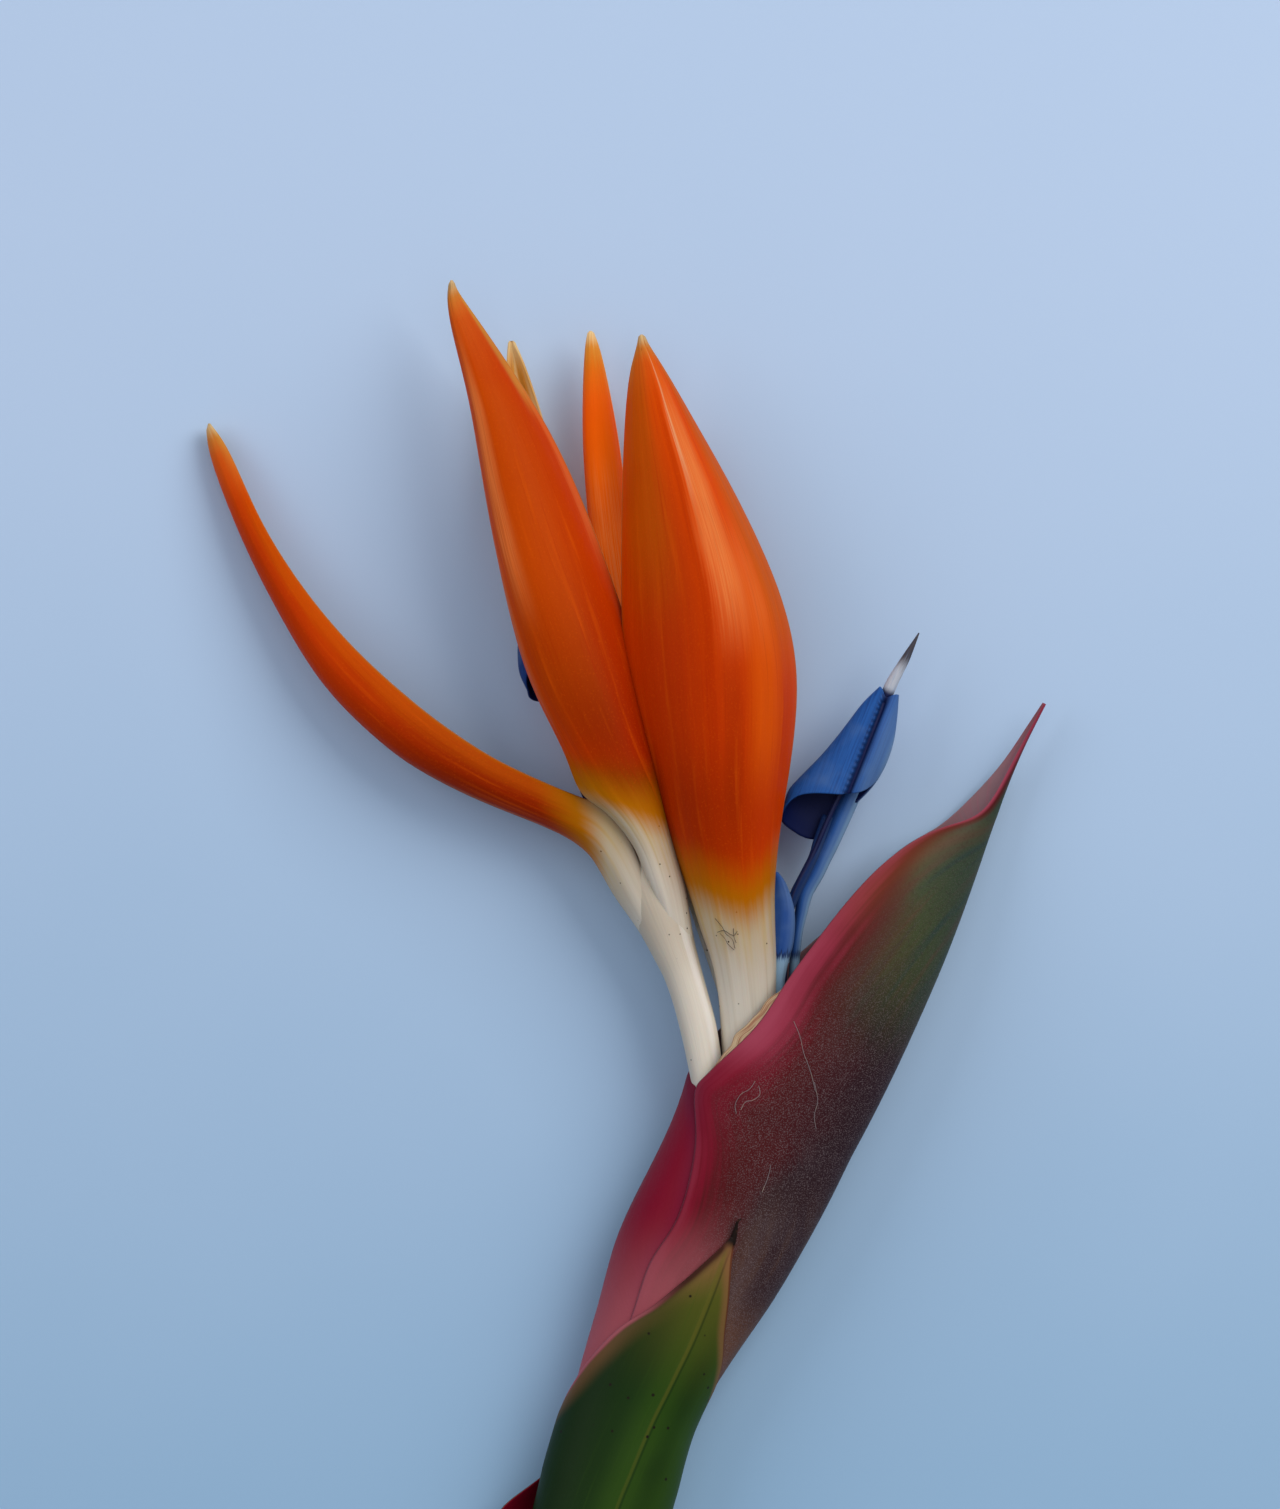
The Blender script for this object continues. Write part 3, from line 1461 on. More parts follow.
@dataclass
class Arrow:
    """Hood of two fused blue petals on its stalk, with the style and stigma.

    Attributes:
        top: Top of the hood.
        lean: Degrees that the hood leans to the right.
        size: Scale of the hood.
        stalk: Stations of the stalk.
        strand: Stations of the darker strand beside it.
        style: Stations of the style and stigma.
        light, dark: Its two blues.
        wall: Thickness of the hood.
        step: Millimetres down from the top between two rows of the profile.
        profile: Half widths of the hood to the left and right, and half depths to the front
            and back, from the top down.
        rim: Length of the hood from top to rim, all round, from the right over the front.
        seam_lean: How far the seam down the front moves to the right for a millimetre down.
        bead_space: Millimetres from bead to bead.
        bead_side: How far the beads lie left of the seam.
        groove_width, groove_depth, bead_height: Half width, depth and height of the two.
        notch: Depth of the notch in the middle of the top.
        top_mark: Value of the mark "rise" at the top.
        rows, columns: Points down and around.
    """

    top: tuple
    lean: float
    size: float
    stalk: Stations
    strand: Stations
    style: Stations
    light: Ink = Ink.HOOD_BLUE
    dark: Ink = Ink.HOOD_DARK
    wall: float = 0.5
    step: float = 4.0
    profile: tuple = (
        (1.8, 2, 1.6, 1.6), (3.3, 3.5, 2.2, 2), (4.2, 4.7, 3, 2.6), (5.1, 5.2, 3.6, 3),
        (6.2, 5, 4, 3.4), (7.6, 4.6, 4.3, 3.7), (8.8, 4.1, 4.4, 3.9), (8.2, 3.6, 4, 3.8),
    )
    rim: tuple = (14.5, 18.5, 20.7, 23.5, 28.2, 30.2, 29.6, 21.5, 14.5)
    seam_lean: float = 0.055
    bead_space: float = 1.15
    bead_side: float = 0.75
    groove_width: float = 0.45
    groove_depth: float = 0.8
    bead_height: float = 0.4
    notch: float = 1.3
    top_mark: float = 40.0
    rows: int = 70
    columns: int = 144

    def hood(self) -> Patch:
        """The hood's wall: outside from top to rim, then inside back to the top.

        At an angle, the point lies a share of the rim's length down from the top, with the
        profile's half widths there. A beaded groove runs down the front where the two
        petals meet: at x from the seam it is exp(-(x / width)^2) of its depth. The inner face
        has a fifth of it. The mark "deep" covers the groove and the gaps between its beads.

        Returns:
            The closed patch, with the marks that its finish reads.
        """
        turn = np.linspace(0, 1, self.columns, endpoint=False)
        angle = 2 * np.pi * turn
        length = value_along(self.rim, turn) * np.linspace(0, 1, self.rows)[:, None]
        reach = self.step * (len(self.profile) - 1)
        shape = along(self.profile, (length / reach).ravel()).reshape(self.rows, self.columns, 4)
        across = np.where(np.cos(angle) > 0, shape[..., 1], shape[..., 0])
        depth = np.where(np.sin(angle) > 0, shape[..., 2], shape[..., 3])
        tilt = np.radians(self.lean)
        points, marks = [], []
        for inset, outer, order in ((0, 1, 1), (self.wall, 0, -1)):
            x = (across - inset) * np.cos(angle)
            front = (depth - inset) * np.sin(angle)
            seam = x - self.seam_lean * length
            near_front = np.sin(angle) > 0
            cut = np.exp(-((seam / self.groove_width) ** 2)) * near_front
            bead = np.exp(-(((seam + self.bead_side) / self.groove_width) ** 2)) * near_front
            bead = bead * (0.5 + 0.5 * np.cos(2 * np.pi * length / self.bead_space))
            relief = (bead * self.bead_height - cut * self.groove_depth) * smooth(0, 2, length)
            front = front + relief * (1 if outer else 0.2)
            down = length + self.notch * np.exp(-(x**2)) * smooth(4.5, 0, length)
            place = [
                self.top[0] + self.size * (x * np.cos(tilt) - down * np.sin(tilt)),
                self.top[1] - self.size * (x * np.sin(tilt) + down * np.cos(tilt)),
                self.top[2] + self.size * front,
            ]
            shade = np.exp(-(((seam - 0.15) / 0.7) ** 2)) * near_front
            beside = 0.5 * (1 - bead) * np.exp(-(((seam + self.bead_side) / 0.4) ** 2)) * near_front
            values = {
                "rise": self.top_mark - length,
                "across": seam / 4,
                "outer": np.full(length.shape, outer),
                "deep": np.clip(shade + beside, 0, 1) * outer,
            }
            points.append(np.stack(place, axis=-1)[::order])
            marks.append({name: value[::order] for name, value in values.items()})
        merged = {name: np.concatenate([side[name] for side in marks]) for name in marks[0]}
        return Patch(np.concatenate(points), merged, ring=True)

    def build(self, prefix: str) -> None:
        """Makes the arrow and the style.

        Args:
            prefix: Start of their names.
        """
        blue = PetalFinish(prefix + "_blue", self.light, self.dark)
        stalk = Stalk(self.stalk, ridges=(0.1, 2, 1.2), shift=0.35, rows=110)
        strand = Stalk(self.strand, deep=0.75, start=20, rows=60, sides=20)
        patches = [self.hood(), stalk.patch(), strand.patch()]
        add_piece(prefix + "_arrow_petals", patches, blue, "petal_blue", prefix + "_arrow")
        name, node = prefix + "_style_and_stigma", prefix + "_style"
        style = Stalk(self.style, rows=150, sides=20)
        add_piece(name, [style.patch()], StigmaFinish(prefix + "_stigma"), "stigma_white", node)


@dataclass
class Nectary:
    """Short boat-shaped blue petal at the foot of the arrow.

    Attributes:
        foot: Where it starts.
        lean: Degrees that it leans to the right.
        size: Its scale.
        margin, keel, other: Its rails, before they are moved to the foot.
    """

    foot: tuple
    lean: float = 0.0
    size: float = 1.0
    margin: tuple = (
        (-0.8, 0, -0.9), (-1.2, 6, -1.6), (-2.2, 12, -2.2),
        (-2.4, 18, -2), (-1.6, 22.5, -1), (-0.5, 24.6, 0.4),
    )
    keel: tuple = (
        (0.3, 0, 0.5), (0.2, 6, 1.2), (0.6, 12, 2),
        (1, 18, 2.2), (0.4, 22.8, 1.6), (-0.3, 24.8, 0.9),
    )
    other: tuple = (
        (1, 0, -0.6), (1.4, 6, 0.2), (2.9, 12, 0.8),
        (3.1, 17.5, 1), (1.8, 22, 1), (0.1, 24.6, 0.6),
    )

    def place(self, rail: Stations) -> Array:
        """A rail scaled, turned and moved to the foot.

        Args:
            rail: Its stations.

        Returns:
            Its stations on the flower.
        """
        x, y, z = (np.array(rail) * self.size).T
        c, s = np.cos(np.radians(self.lean)), np.sin(np.radians(self.lean))
        return np.stack([x * c + y * s, y * c - x * s, z], axis=1) + self.foot

    def build(self, prefix: str) -> None:
        """Makes the petal.

        Args:
            prefix: Start of its names.
        """
        rails = (self.place(rail) for rail in (self.margin, self.keel, self.other))
        blade = Blade(*rails, bow=(0.16, 0.16), soft=(0.3, 0.3), wall=0.6, rows=90, columns=41)
        blue = PetalFinish(prefix + "_nectary_blue", Ink.BRIGHT_BLUE, Ink.BLUE)
        add_piece(prefix + "_nectary", [blade.patch()], blue, "petal_blue", prefix + "_nectary_petal")


@dataclass
class Sepal:
    """One sepal of a flower.

    Attributes:
        side: Where it stands, which is part of its names.
        blade: Its shape.
        finish: What dresses it.
    """

    side: str
    blade: Blade
    finish: SepalFinish


@dataclass
class Flower:
    """An open flower.

    Attributes:
        prefix: Start of the names of its pieces and nodes.
        tube: Stations of its tube.
        tube_rows: Points along the tube.
        ridge_phase: Phase of the tube's three ridges.
        sepals: Its three sepals.
        arrow: Its arrow and style.
        nectary: Its nectary petal.
    """

    prefix: str
    tube: Stations
    tube_rows: int
    ridge_phase: float
    sepals: list[Sepal]
    arrow: Arrow
    nectary: Nectary

    def build(self) -> None:
        """Makes the flower."""
        ridges = (0.015, 3, self.ridge_phase)
        tube = Stalk(self.tube, ridges=ridges, rows=self.tube_rows, sides=56)
        cream = ClawFinish(self.prefix + "_cream")
        add_piece(self.prefix + "_claw_tube", [tube.patch()], cream, "tube_cream", self.prefix + "_tube")
        for sepal in self.sepals:
            name, node = f"{self.prefix}_{sepal.side}_blade", f"{self.prefix}_sepal_{sepal.side}"
            add_piece(name, [sepal.blade.patch()], sepal.finish, "sepal_orange", node)
        self.arrow.build(self.prefix)
        self.nectary.build(self.prefix)


# First flower: left sepal, a long ribbon seen from its side
LEFT_SEPAL = Blade(
    margin=[
        (7.4, 27, 14), (4.6, 35.2, 16.6), (2, 42.5, 17.3), (-0.2, 47.6, 17.2),
        (-4, 52, 16.9), (-8.6, 53.5, 16.5), (-22, 59.4, 15.5), (-30.4, 64.6, 15),
        (-38.2, 70.4, 14), (-48.9, 80, 12.2), (-58.1, 90.8, 10.3), (-65.9, 102.9, 8.3),
        (-71.8, 115.9, 5.6), (-75.4, 121, 3.6),
    ],
    keel=[
        (6.4, 23.5, 12.6), (1.6, 31, 12.5), (-1.7, 35.6, 12.5), (-4.4, 40.2, 12.5),
        (-7, 43.9, 12.4), (-12.8, 47.7, 12.3), (-25.4, 52.7, 12), (-34.7, 57.2, 11.5),
        (-43, 62.6, 11), (-54.1, 73.3, 9.4), (-62.3, 86.4, 7.4), (-69.3, 100.2, 5.4),
        (-74.9, 114.5, 3.4), (-75.8, 120.8, 2.6),
    ],
    other=[
        (7, 27, 10.6), (3, 34.5, 8.8), (0.2, 41, 8.3), (-1.6, 46.5, 8.5),
        (-4.6, 51, 8.7), (-9, 52.9, 8.4), (-22, 59, 7.6), (-30.4, 64.3, 7),
        (-38.2, 70, 6.2), (-48.9, 79.6, 4.2), (-58.1, 90.4, 2.3), (-65.9, 102.5, 1),
        (-71.8, 115.6, 1.1), (-75.5, 120.4, 1.9),
    ],
    bow=(0.2, 0.22, 0.18, 0.16, 0.16), soft=(0.5, 0.45, 0.35, 0.3, 0.3),
    claw=(31, 22, 22), rows=220,
)
LEFT_BANDS = (
    Band(Ink.DEEP_ORANGE, 0, 1.6, 16, 114, 0.6, 24),
    Band(Ink.DARK_RED, -0.3, 2.2, 66, 118, 0.62, 44),
    Band(Ink.AMBER_ORANGE, -0.95, 0.34, 16, 106, 0.5, 20),
    Band(Ink.TAN_SHEEN, -0.12, 0.07, 78, 110, 0.35, 20, 0.5),
)

# First flower: front sepal, standing broad towards the viewer
FRONT_SEPAL = Blade(
    margin=[
        (10.6, 18, 12.6), (9, 24, 13), (7.4, 29.4, 14.2), (5.4, 35, 16.2),
        (3.2, 40, 17.8), (1.2, 45, 18.3), (-3.9, 51.2, 18.6), (-8.5, 54, 18.5),
        (-11, 61.4, 18), (-16.2, 71.5, 17.6), (-19.8, 81.7, 17.5), (-22.9, 96.1, 17.5),
        (-25.6, 111.4, 17.5), (-28.1, 125.8, 18), (-31.3, 137.5, 18.5), (-32, 143.3, 18.5),
        (-31.7, 146.2, 18.4),
    ],
    keel=[
        (11.4, 18, 12.8), (10.4, 23.4, 13.9), (9.4, 28.4, 15.4), (8.4, 33.4, 17),
        (7.2, 38.4, 18.4), (5.6, 43.6, 19.4), (3.4, 49, 20.4), (0.2, 54.4, 21.6),
        (-4, 61, 23), (-9.2, 71.5, 24.3), (-13, 81.7, 24.9), (-18.2, 96.1, 25),
        (-21.8, 109.6, 24), (-25, 123.1, 22.5), (-29, 135.4, 20.5), (-31.3, 142, 19.2),
        (-31.5, 146.3, 18.6),
    ],
    other=[
        (12.4, 18, 12.4), (12.3, 23.4, 12.6), (11.7, 28.8, 12.6), (10.9, 33.8, 12.6),
        (9.9, 38.8, 12.6), (8.5, 43.4, 12.9), (7.6, 48.2, 13.4), (7.2, 53.4, 13.9),
        (6.4, 60, 14.4), (4, 70.9, 14.9), (0.4, 83.5, 15), (-5.9, 101.5, 15.4),
        (-11.7, 115, 16.2), (-17.6, 125.6, 17), (-25.6, 137.5, 18), (-30.1, 143.8, 18.4),
        (-31.3, 146.2, 18.4),
    ],
    bow=(0.16, 0.14, 0.12, 0.12), soft=(0.35, 0.5, 0.4, 0.3, 0.2),
    claw=(41, 36, 34), rows=230,
)
FRONT_BANDS = (
    Band(Ink.DEEP_ORANGE, 0.2, 1.6, 10, 100, 0.6, 40),
    Band(Ink.AMBER_ORANGE, 0, 1, 12, 84, 0.35, 24),
    Band(Ink.DARK_RED, 0.4, 1.2, 70, 102, 0.62, 40),
    Band(Ink.AMBER_ORANGE, -0.95, 0.5, 2, 66, 0.75, 16),
    Band(Ink.SALMON, -0.25, 0.24, 16, 58, 0.85, 20, 0.45),
    Band(Ink.TAN_SHEEN, -0.75, 0.22, 30, 84, 0.3, 18, 0.5),
    Band(Ink.DEEP_ORANGE, 0.55, 0.3, 60, 96, 0.4, 20),
    Band(Ink.SALMON, 0.94, 0.12, 24, 56, 0.4, 12),
    Band(Ink.TIP_GOLD, 0.92, 0.2, 1, 26, 0.7, 10),
    Band(Ink.DARK_AMBER, 0, 2, 93, 112, 0.75, 8),
)

# First flower: back sepal, its hollow side towards the viewer
BACK_SEPAL = Blade(
    margin=[
        (-0.6, 38, 9), (-6.4, 56, 7), (-12.8, 70.9, 7), (-17.5, 88.9, 7),
        (-21.1, 106.9, 7), (-21.8, 121.3, 7), (-21.6, 131.2, 7.5), (-21.2, 135.8, 7.6),
    ],
    keel=[
        (3, 36.5, 7.4), (-2.4, 56, 4.4), (-7, 70.9, 3.5), (-12.3, 88.9, 3.2),
        (-16.2, 106.9, 3.4), (-18.8, 121.3, 4.5), (-20.2, 131.2, 6), (-20.9, 135.8, 7),
    ],
    other=[
        (7.6, 37.5, 9.2), (3, 55, 7.4), (-2.2, 71.6, 7), (-8, 89.7, 7),
        (-11.6, 107.7, 7), (-15.1, 121.3, 7), (-18.5, 131.2, 7.5), (-20.6, 135.8, 7.6),
    ],
    claw=(14, 14, 14), hollow=True, rows=130, columns=41,
)
BACK_BANDS = (
    Band(Ink.TIP_GOLD, 0, 2, 0, 30, 0.8, 12),
    Band(Ink.TIP_CREAM, -0.9, 0.2, 1, 60, 0.9, 4),
    Band(Ink.AMBER_ORANGE, -0.5, 0.2, 2, 60, 0.7, 4),
    Band(Ink.TIP_CREAM, -0.05, 0.26, 1, 40, 0.9, 4),
    Band(Ink.DARK_AMBER, 0.38, 0.2, 3, 60, 0.7, 6),
    Band(Ink.TIP_CREAM, 0.9, 0.3, 1, 60, 0.9, 4),
)

# Second flower: front sepal, the large keeled one
LARGE_SEPAL = Blade(
    margin=[
        (17.3, 6, 11.2), (17, 12.5, 11.5), (16.6, 18.7, 11.9), (15.3, 24.5, 12.5),
        (13.3, 29.8, 13.3), (11, 37, 14.6), (7.2, 47.5, 15.8), (3.2, 61.9, 16.8),
        (-0.5, 76.3, 17.2), (-1, 90.7, 17.4), (-0.9, 106.9, 17.6), (-0.4, 120.4, 18),
        (0.5, 129.4, 18.8), (1.8, 134.1, 19), (2.4, 136.4, 19),
    ],
    keel=[
        (21.9, 6, 14), (21.8, 12.5, 15.2), (21.3, 18.7, 16.7), (20.6, 24.5, 18),
        (19.8, 29.8, 19.3), (18.7, 37.1, 21.5), (17.3, 48.4, 24.8), (16.6, 63.2, 27.5),
        (16.2, 76.3, 28.3), (14.8, 90.7, 28), (11.3, 106, 26), (7.2, 120.4, 23.5),
        (4.5, 130, 21), (2.9, 134.5, 19.8), (2.6, 136.5, 19.3),
    ],
    other=[
        (26.9, 6, 10.8), (26.9, 12.5, 11.2), (26.8, 18.7, 11.7), (26.9, 24.5, 12.6),
        (26.6, 30.4, 13.6), (26.5, 38.2, 14.6), (27.7, 49.3, 15), (29.9, 62.8, 15.5),
        (30.6, 76.7, 15.5), (27.4, 90.7, 16), (20, 106.9, 17), (12.4, 120.4, 18),
        (7.2, 129.4, 18.8), (4.1, 134.1, 19), (2.9, 136.4, 19),
    ],
    bow=(0.2, 0.16, 0.1, 0.1, 0.1), soft=(0.6, 0.5, 0.3, 0.12, 0.08, 0.06),
    claw=(34.5, 34, 33, 31.5, 29.5, 28, 30, 32.5, 34.5), rows=240, columns=73,
)
LARGE_BANDS = (
    Band(Ink.DEEP_ORANGE, -0.5, 0.7, 28, 100, 0.65, 34),
    Band(Ink.DEEP_ORANGE, 0.4, 1, 54, 104, 0.6, 34),
    Band(Ink.AMBER_ORANGE, -0.62, 0.5, 2, 48, 0.7, 24),
    Band(Ink.DARK_RED, -0.95, 0.32, 76, 106, 0.7, 14),
    Band(Ink.DARK_RED, 0.12, 0.14, 62, 92, 0.2, 16),
    Band(Ink.DARK_RED, -0.2, 0.9, 80, 101, 0.35, 16),
    Band(Ink.AMBER_ORANGE, 0.86, 0.44, 0, 58, 0.8, 20),
    Band(Ink.LIGHT_ORANGE, 0.5, 0.3, 44, 82, 0.5, 20),
    Band(Ink.SALMON, 0.2, 0.26, 12, 54, 1, 18, 0.4),
    Band(Ink.SALMON, 0.5, 0.16, 38, 56, 0.35, 14, 0.4),
    Band(Ink.TIP_CREAM, 0.06, 0.05, 0, 28, 0.3, 16),
    Band(Ink.DEEP_ORANGE, -0.06, 0.07, 12, 84, 0.3, 20),
)

# Second flower: side sepal, narrow between the two large ones
NARROW_SEPAL = Blade(
    margin=[
        (18, 14, 10), (13.9, 25.9, 8.5), (9.2, 40.3, 8), (3.8, 56.5, 7.6),
        (-1, 72.7, 7.4), (-4.5, 87.1, 7.4), (-6.3, 99.7, 7.2), (-7.5, 114.1, 7),
        (-7.7, 124.9, 7), (-7.4, 133.9, 7.5), (-6.8, 137.4, 7.6),
    ],
    keel=[
        (18.9, 14, 11), (16, 25.9, 9.8), (11.7, 40.3, 10.6), (6.7, 56.5, 10.9),
        (1.9, 72.7, 11), (-2, 87.1, 11), (-4.1, 99.7, 11), (-5.6, 114.1, 10.6),
        (-6.3, 124.9, 9.6), (-6.6, 133.9, 8.5), (-6.6, 137.6, 8),
    ],
    other=[
        (20, 14, 9), (17.6, 25.9, 7), (14.2, 41.2, 7.2), (9.9, 57.4, 7.2),
        (5.2, 73.6, 7), (2, 88, 7), (0.5, 101.5, 7), (-1.1, 114.8, 7),
        (-2.9, 125.3, 7), (-4.9, 134.1, 7.5), (-6.3, 137.4, 7.6),
    ],
    soft=(0.3, 0.3), claw=(30, 30, 30), rows=150, columns=45,
)
NARROW_BANDS = (
    Band(Ink.AMBER, 0, 2, 0, 9, 0.7, 12),
    Band(Ink.AMBER_ORANGE, -0.8, 0.5, 4, 60, 0.6, 12),
    Band(Ink.LIGHT_ORANGE, 0.2, 0.9, 12, 90, 0.9, 30),
    Band(Ink.SALMON, 0.2, 0.9, 28, 62, 0.75, 16, 1),
    Band(Ink.DEEP_ORANGE, -0.7, 0.3, 20, 66, 0.4, 16, 0.6),
    Band(Ink.TIP_CREAM, 0.97, 0.08, 0, 40, 0.6, 10),
)

# Second flower: back sepal, hidden behind the large one
HIDDEN_SEPAL = Blade(
    margin=[
        (19.5, 14, 8), (20, 29.5, 6.4), (18, 43.9, 6.2), (14.6, 61.9, 6.2),
        (10.6, 78.1, 6.2), (7.6, 92.5, 6.3), (6.7, 106.9, 6.6), (7.2, 117.2, 7.5),
        (7.8, 119.8, 7.7),
    ],
    keel=[
        (22.5, 14, 6.6), (23, 29.5, 3.6), (21.4, 43.9, 2.4), (18.8, 61.9, 2),
        (16, 78.1, 2), (12.9, 92.5, 2.4), (9.9, 106.9, 4), (8.3, 117.2, 6.4),
        (8.1, 119.9, 7.2),
    ],
    other=[
        (25, 14, 8), (25.6, 29.5, 6.4), (25.2, 43.9, 6.2), (24.3, 61.9, 6.2),
        (22.9, 78.1, 6.2), (18.9, 92.5, 6.3), (13.1, 106.9, 6.6), (9.2, 117.2, 7.5),
        (8.4, 119.8, 7.7),
    ],
    claw=(14, 14, 14), hollow=True, rows=130, columns=41,
)

# The left flower, its arrow nearly hidden behind the sepals
FIRST_FLOWER = Flower(
    prefix="flower_1",
    tube=(
        (3.7, -35.8, 13.8, 2.3, 2.3), (9.2, -26.5, 14.2, 2.7, 2.7), (13.3, -16.4, 14.3, 2.9, 2.8),
        (15.2, -6.5, 13.9, 2.9, 2.8), (14.8, 0.5, 13.6, 3, 2.8), (13.7, 7.2, 13.3, 3.15, 2.9),
        (12.7, 12.3, 13.1, 3.3, 3), (11.4, 17.2, 12.9, 3.3, 3.2), (9.9, 22, 12.7, 3.5, 3.5),
        (8.4, 26, 12.6, 4, 4.1), (6.6, 31, 12.5, 4.8, 4.9), (4.9, 35.5, 12.4, 5.3, 5.35),
        (3.2, 40, 12.3, 5.2, 5.2), (1.4, 44, 12.3, 3.8, 3.8), (0.4, 46, 12.3, 0.8, 0.8),
    ),
    tube_rows=150,
    ridge_phase=0.5,
    sepals=[
        Sepal("left", LEFT_SEPAL, SepalFinish("sepal_left_skin", LEFT_BANDS, 7.5, seed=1)),
        Sepal("front", FRONT_SEPAL, SepalFinish("sepal_front_skin", FRONT_BANDS, 8.5, seed=2)),
        Sepal("back", BACK_SEPAL, SepalFinish("sepal_back_skin", BACK_BANDS, 14, 0.12, 0.16, seed=3)),
    ],
    arrow=Arrow(
        top=(-13.4, 96.5, 12.6), lean=-3, size=0.85,
        stalk=[
            (1.9, 39.4, 12, 0.8, 0.8), (-1.2, 45.5, 11.8, 0.9, 0.9), (-5.5, 56, 11.6, 1.2, 1.1),
            (-9.8, 67, 11, 1.5, 1.2), (-11.2, 75, 10.2, 1.6, 1.2), (-11.8, 82, 9.9, 1.4, 1.1),
        ],
        strand=[
            (-3.5, 53, 11.6, 0.4, 0.4), (-7.5, 62, 12, 0.7, 0.7),
            (-11, 70, 11.6, 0.7, 0.7), (-12.6, 76, 11, 0.5, 0.5),
        ],
        style=[
            (-0.4, 38.4, 12.8, 0.5, 0.5), (-3.6, 45.2, 13.6, 0.5, 0.5), (-8.6, 56.2, 13.8, 0.5, 0.5),
            (-12, 67.5, 13.6, 0.45, 0.45), (-13.1, 80, 13, 0.4, 0.4),
            (-13.3, 91, 12.6, 0.4, 0.4), (-13.4, 97, 12.6, 0.35, 0.35),
            (-13.6, 98.6, 12.6, 1.1, 1), (-14.2, 102.5, 12.6, 0.7, 0.7),
            (-15, 107, 12.6, 0.15, 0.15),
        ],
        light=Ink.HOOD_DARK, dark=Ink.INNER_NAVY,
        profile=(
            (1.8, 2, 1.6, 1.6), (4.6, 3.5, 2.2, 2), (6.8, 4.7, 3, 2.6), (7.8, 5.2, 3.6, 3),
            (8.15, 5, 4, 3.4), (8.5, 4.6, 4.3, 3.7), (8.3, 4.1, 4.4, 3.9), (6.8, 3.6, 4, 3.8),
        ),
    ),
    nectary=Nectary((4.6, 38.8, 12.6), lean=-16, size=0.8),
)

# The right flower
SECOND_FLOWER = Flower(
    prefix="flower_2",
    tube=(
        (7.5, -37.1, 9.2, 2.3, 2.3), (13.6, -26.3, 8.9, 2.7, 2.7), (20.4, -11.9, 9.4, 3.2, 3.2),
        (22.6, 1.6, 10.4, 4.4, 3.8), (22.3, 9.7, 10.9, 5.2, 3.9), (21.9, 17, 11.2, 4.9, 3.9),
        (21, 24, 11.4, 4.6, 3.8), (20.2, 29, 11.4, 3.8, 3.2), (19.8, 32, 11.4, 0.8, 0.8),
    ),
    tube_rows=110,
    ridge_phase=0.9,
    sepals=[
        Sepal("front", LARGE_SEPAL, SepalFinish("large_sepal_skin", LARGE_BANDS, 6, seed=4)),
        Sepal("side", NARROW_SEPAL, SepalFinish("narrow_sepal_skin", NARROW_BANDS, 7.5, 0.1, 0.3, seed=5)),
        Sepal("back", HIDDEN_SEPAL, SepalFinish("hidden_sepal_skin", seed=6)),
    ],
    arrow=Arrow(
        top=(47.2, 72.7, 12.2), lean=25, size=1,
        stalk=[
            (29.8, 15, 10.1, 0.8, 0.8), (30, 19.6, 10.2, 0.9, 0.9), (30.3, 25, 10, 0.9, 0.9),
            (30.8, 29.2, 10, 0.9, 0.9), (31.4, 32.6, 10, 1.1, 1), (32.2, 36.2, 10, 1.35, 1.1),
            (34, 39.6, 9.9, 1.45, 1.2), (35.3, 42.4, 9.8, 1.5, 1.2), (36.7, 45.4, 9.6, 1.6, 1.3),
            (39.5, 52, 9.3, 1.8, 1.3), (42, 58, 9.1, 1.8, 1.2), (43.4, 62, 9.2, 1.2, 1),
        ],
        strand=[
            (28.8, 29.5, 10.4, 0.4, 0.3), (29.4, 33, 10.6, 0.7, 0.5), (30.2, 35.7, 10.7, 0.95, 0.6),
            (32.1, 39.5, 10.7, 0.95, 0.65), (33.6, 42.6, 10.7, 0.9, 0.65),
            (34.6, 45.6, 10.6, 1, 0.6), (36.2, 50, 10.3, 1, 0.6),
        ],
        style=[
            (27.7, 14.9, 10.3, 0.5, 0.5), (28.3, 19.6, 10.6, 0.5, 0.5), (28.6, 29.5, 10.6, 0.5, 0.5),
            (29.9, 35.6, 10.8, 0.5, 0.5), (33.4, 42.8, 11, 0.45, 0.45),
            (37.2, 51.5, 11.8, 0.45, 0.45), (42.5, 62.5, 12.6, 0.45, 0.45),
            (45.7, 69.8, 12.2, 0.7, 0.7), (47, 72.4, 12.2, 1.1, 1), (48.1, 74.7, 12.2, 1.05, 0.95),
            (50.3, 78.6, 12.2, 0.75, 0.7), (52.6, 83, 12.2, 0.12, 0.12),
        ],
    ),
    nectary=Nectary((27, 15.2, 12.4)),
)


@dataclass
class Buds:
    """The two unopened flowers inside the spathe.

    Attributes:
        larger, smaller: Stations of the two.
    """

    larger: tuple = (
        (11.6, -38.6, 13.4, 2, 2), (20.5, -25, 14.2, 2.5, 2.5), (30, -7, 13.4, 3.3, 3.3),
        (38.4, 10.4, 12, 3.5, 3.5), (44.6, 24.1, 10.4, 2.5, 2.5), (48.6, 34, 9.6, 0.3, 0.3),
    )
    smaller: tuple = (
        (14.8, -40.4, 9.2, 1.8, 1.8), (25, -26.3, 9.5, 2.2, 2.2), (33.8, -10.1, 9.2, 2.5, 2.5),
        (39.4, 1.6, 8.9, 2.2, 2.2), (43.6, 11.5, 9, 0.3, 0.3),
    )

    def build(self) -> None:
        """Makes the buds."""
        skin = BudFinish("bud_skin")
        for name, node, stations in (("larger", "bud_1", self.larger), ("smaller", "bud_2", self.smaller)):
            bud = Stalk(stations, ridges=(0.03, 3, 0.2), rows=80, sides=32)
            add_piece(name + "_bud", [bud.patch()], skin, "bud", node)


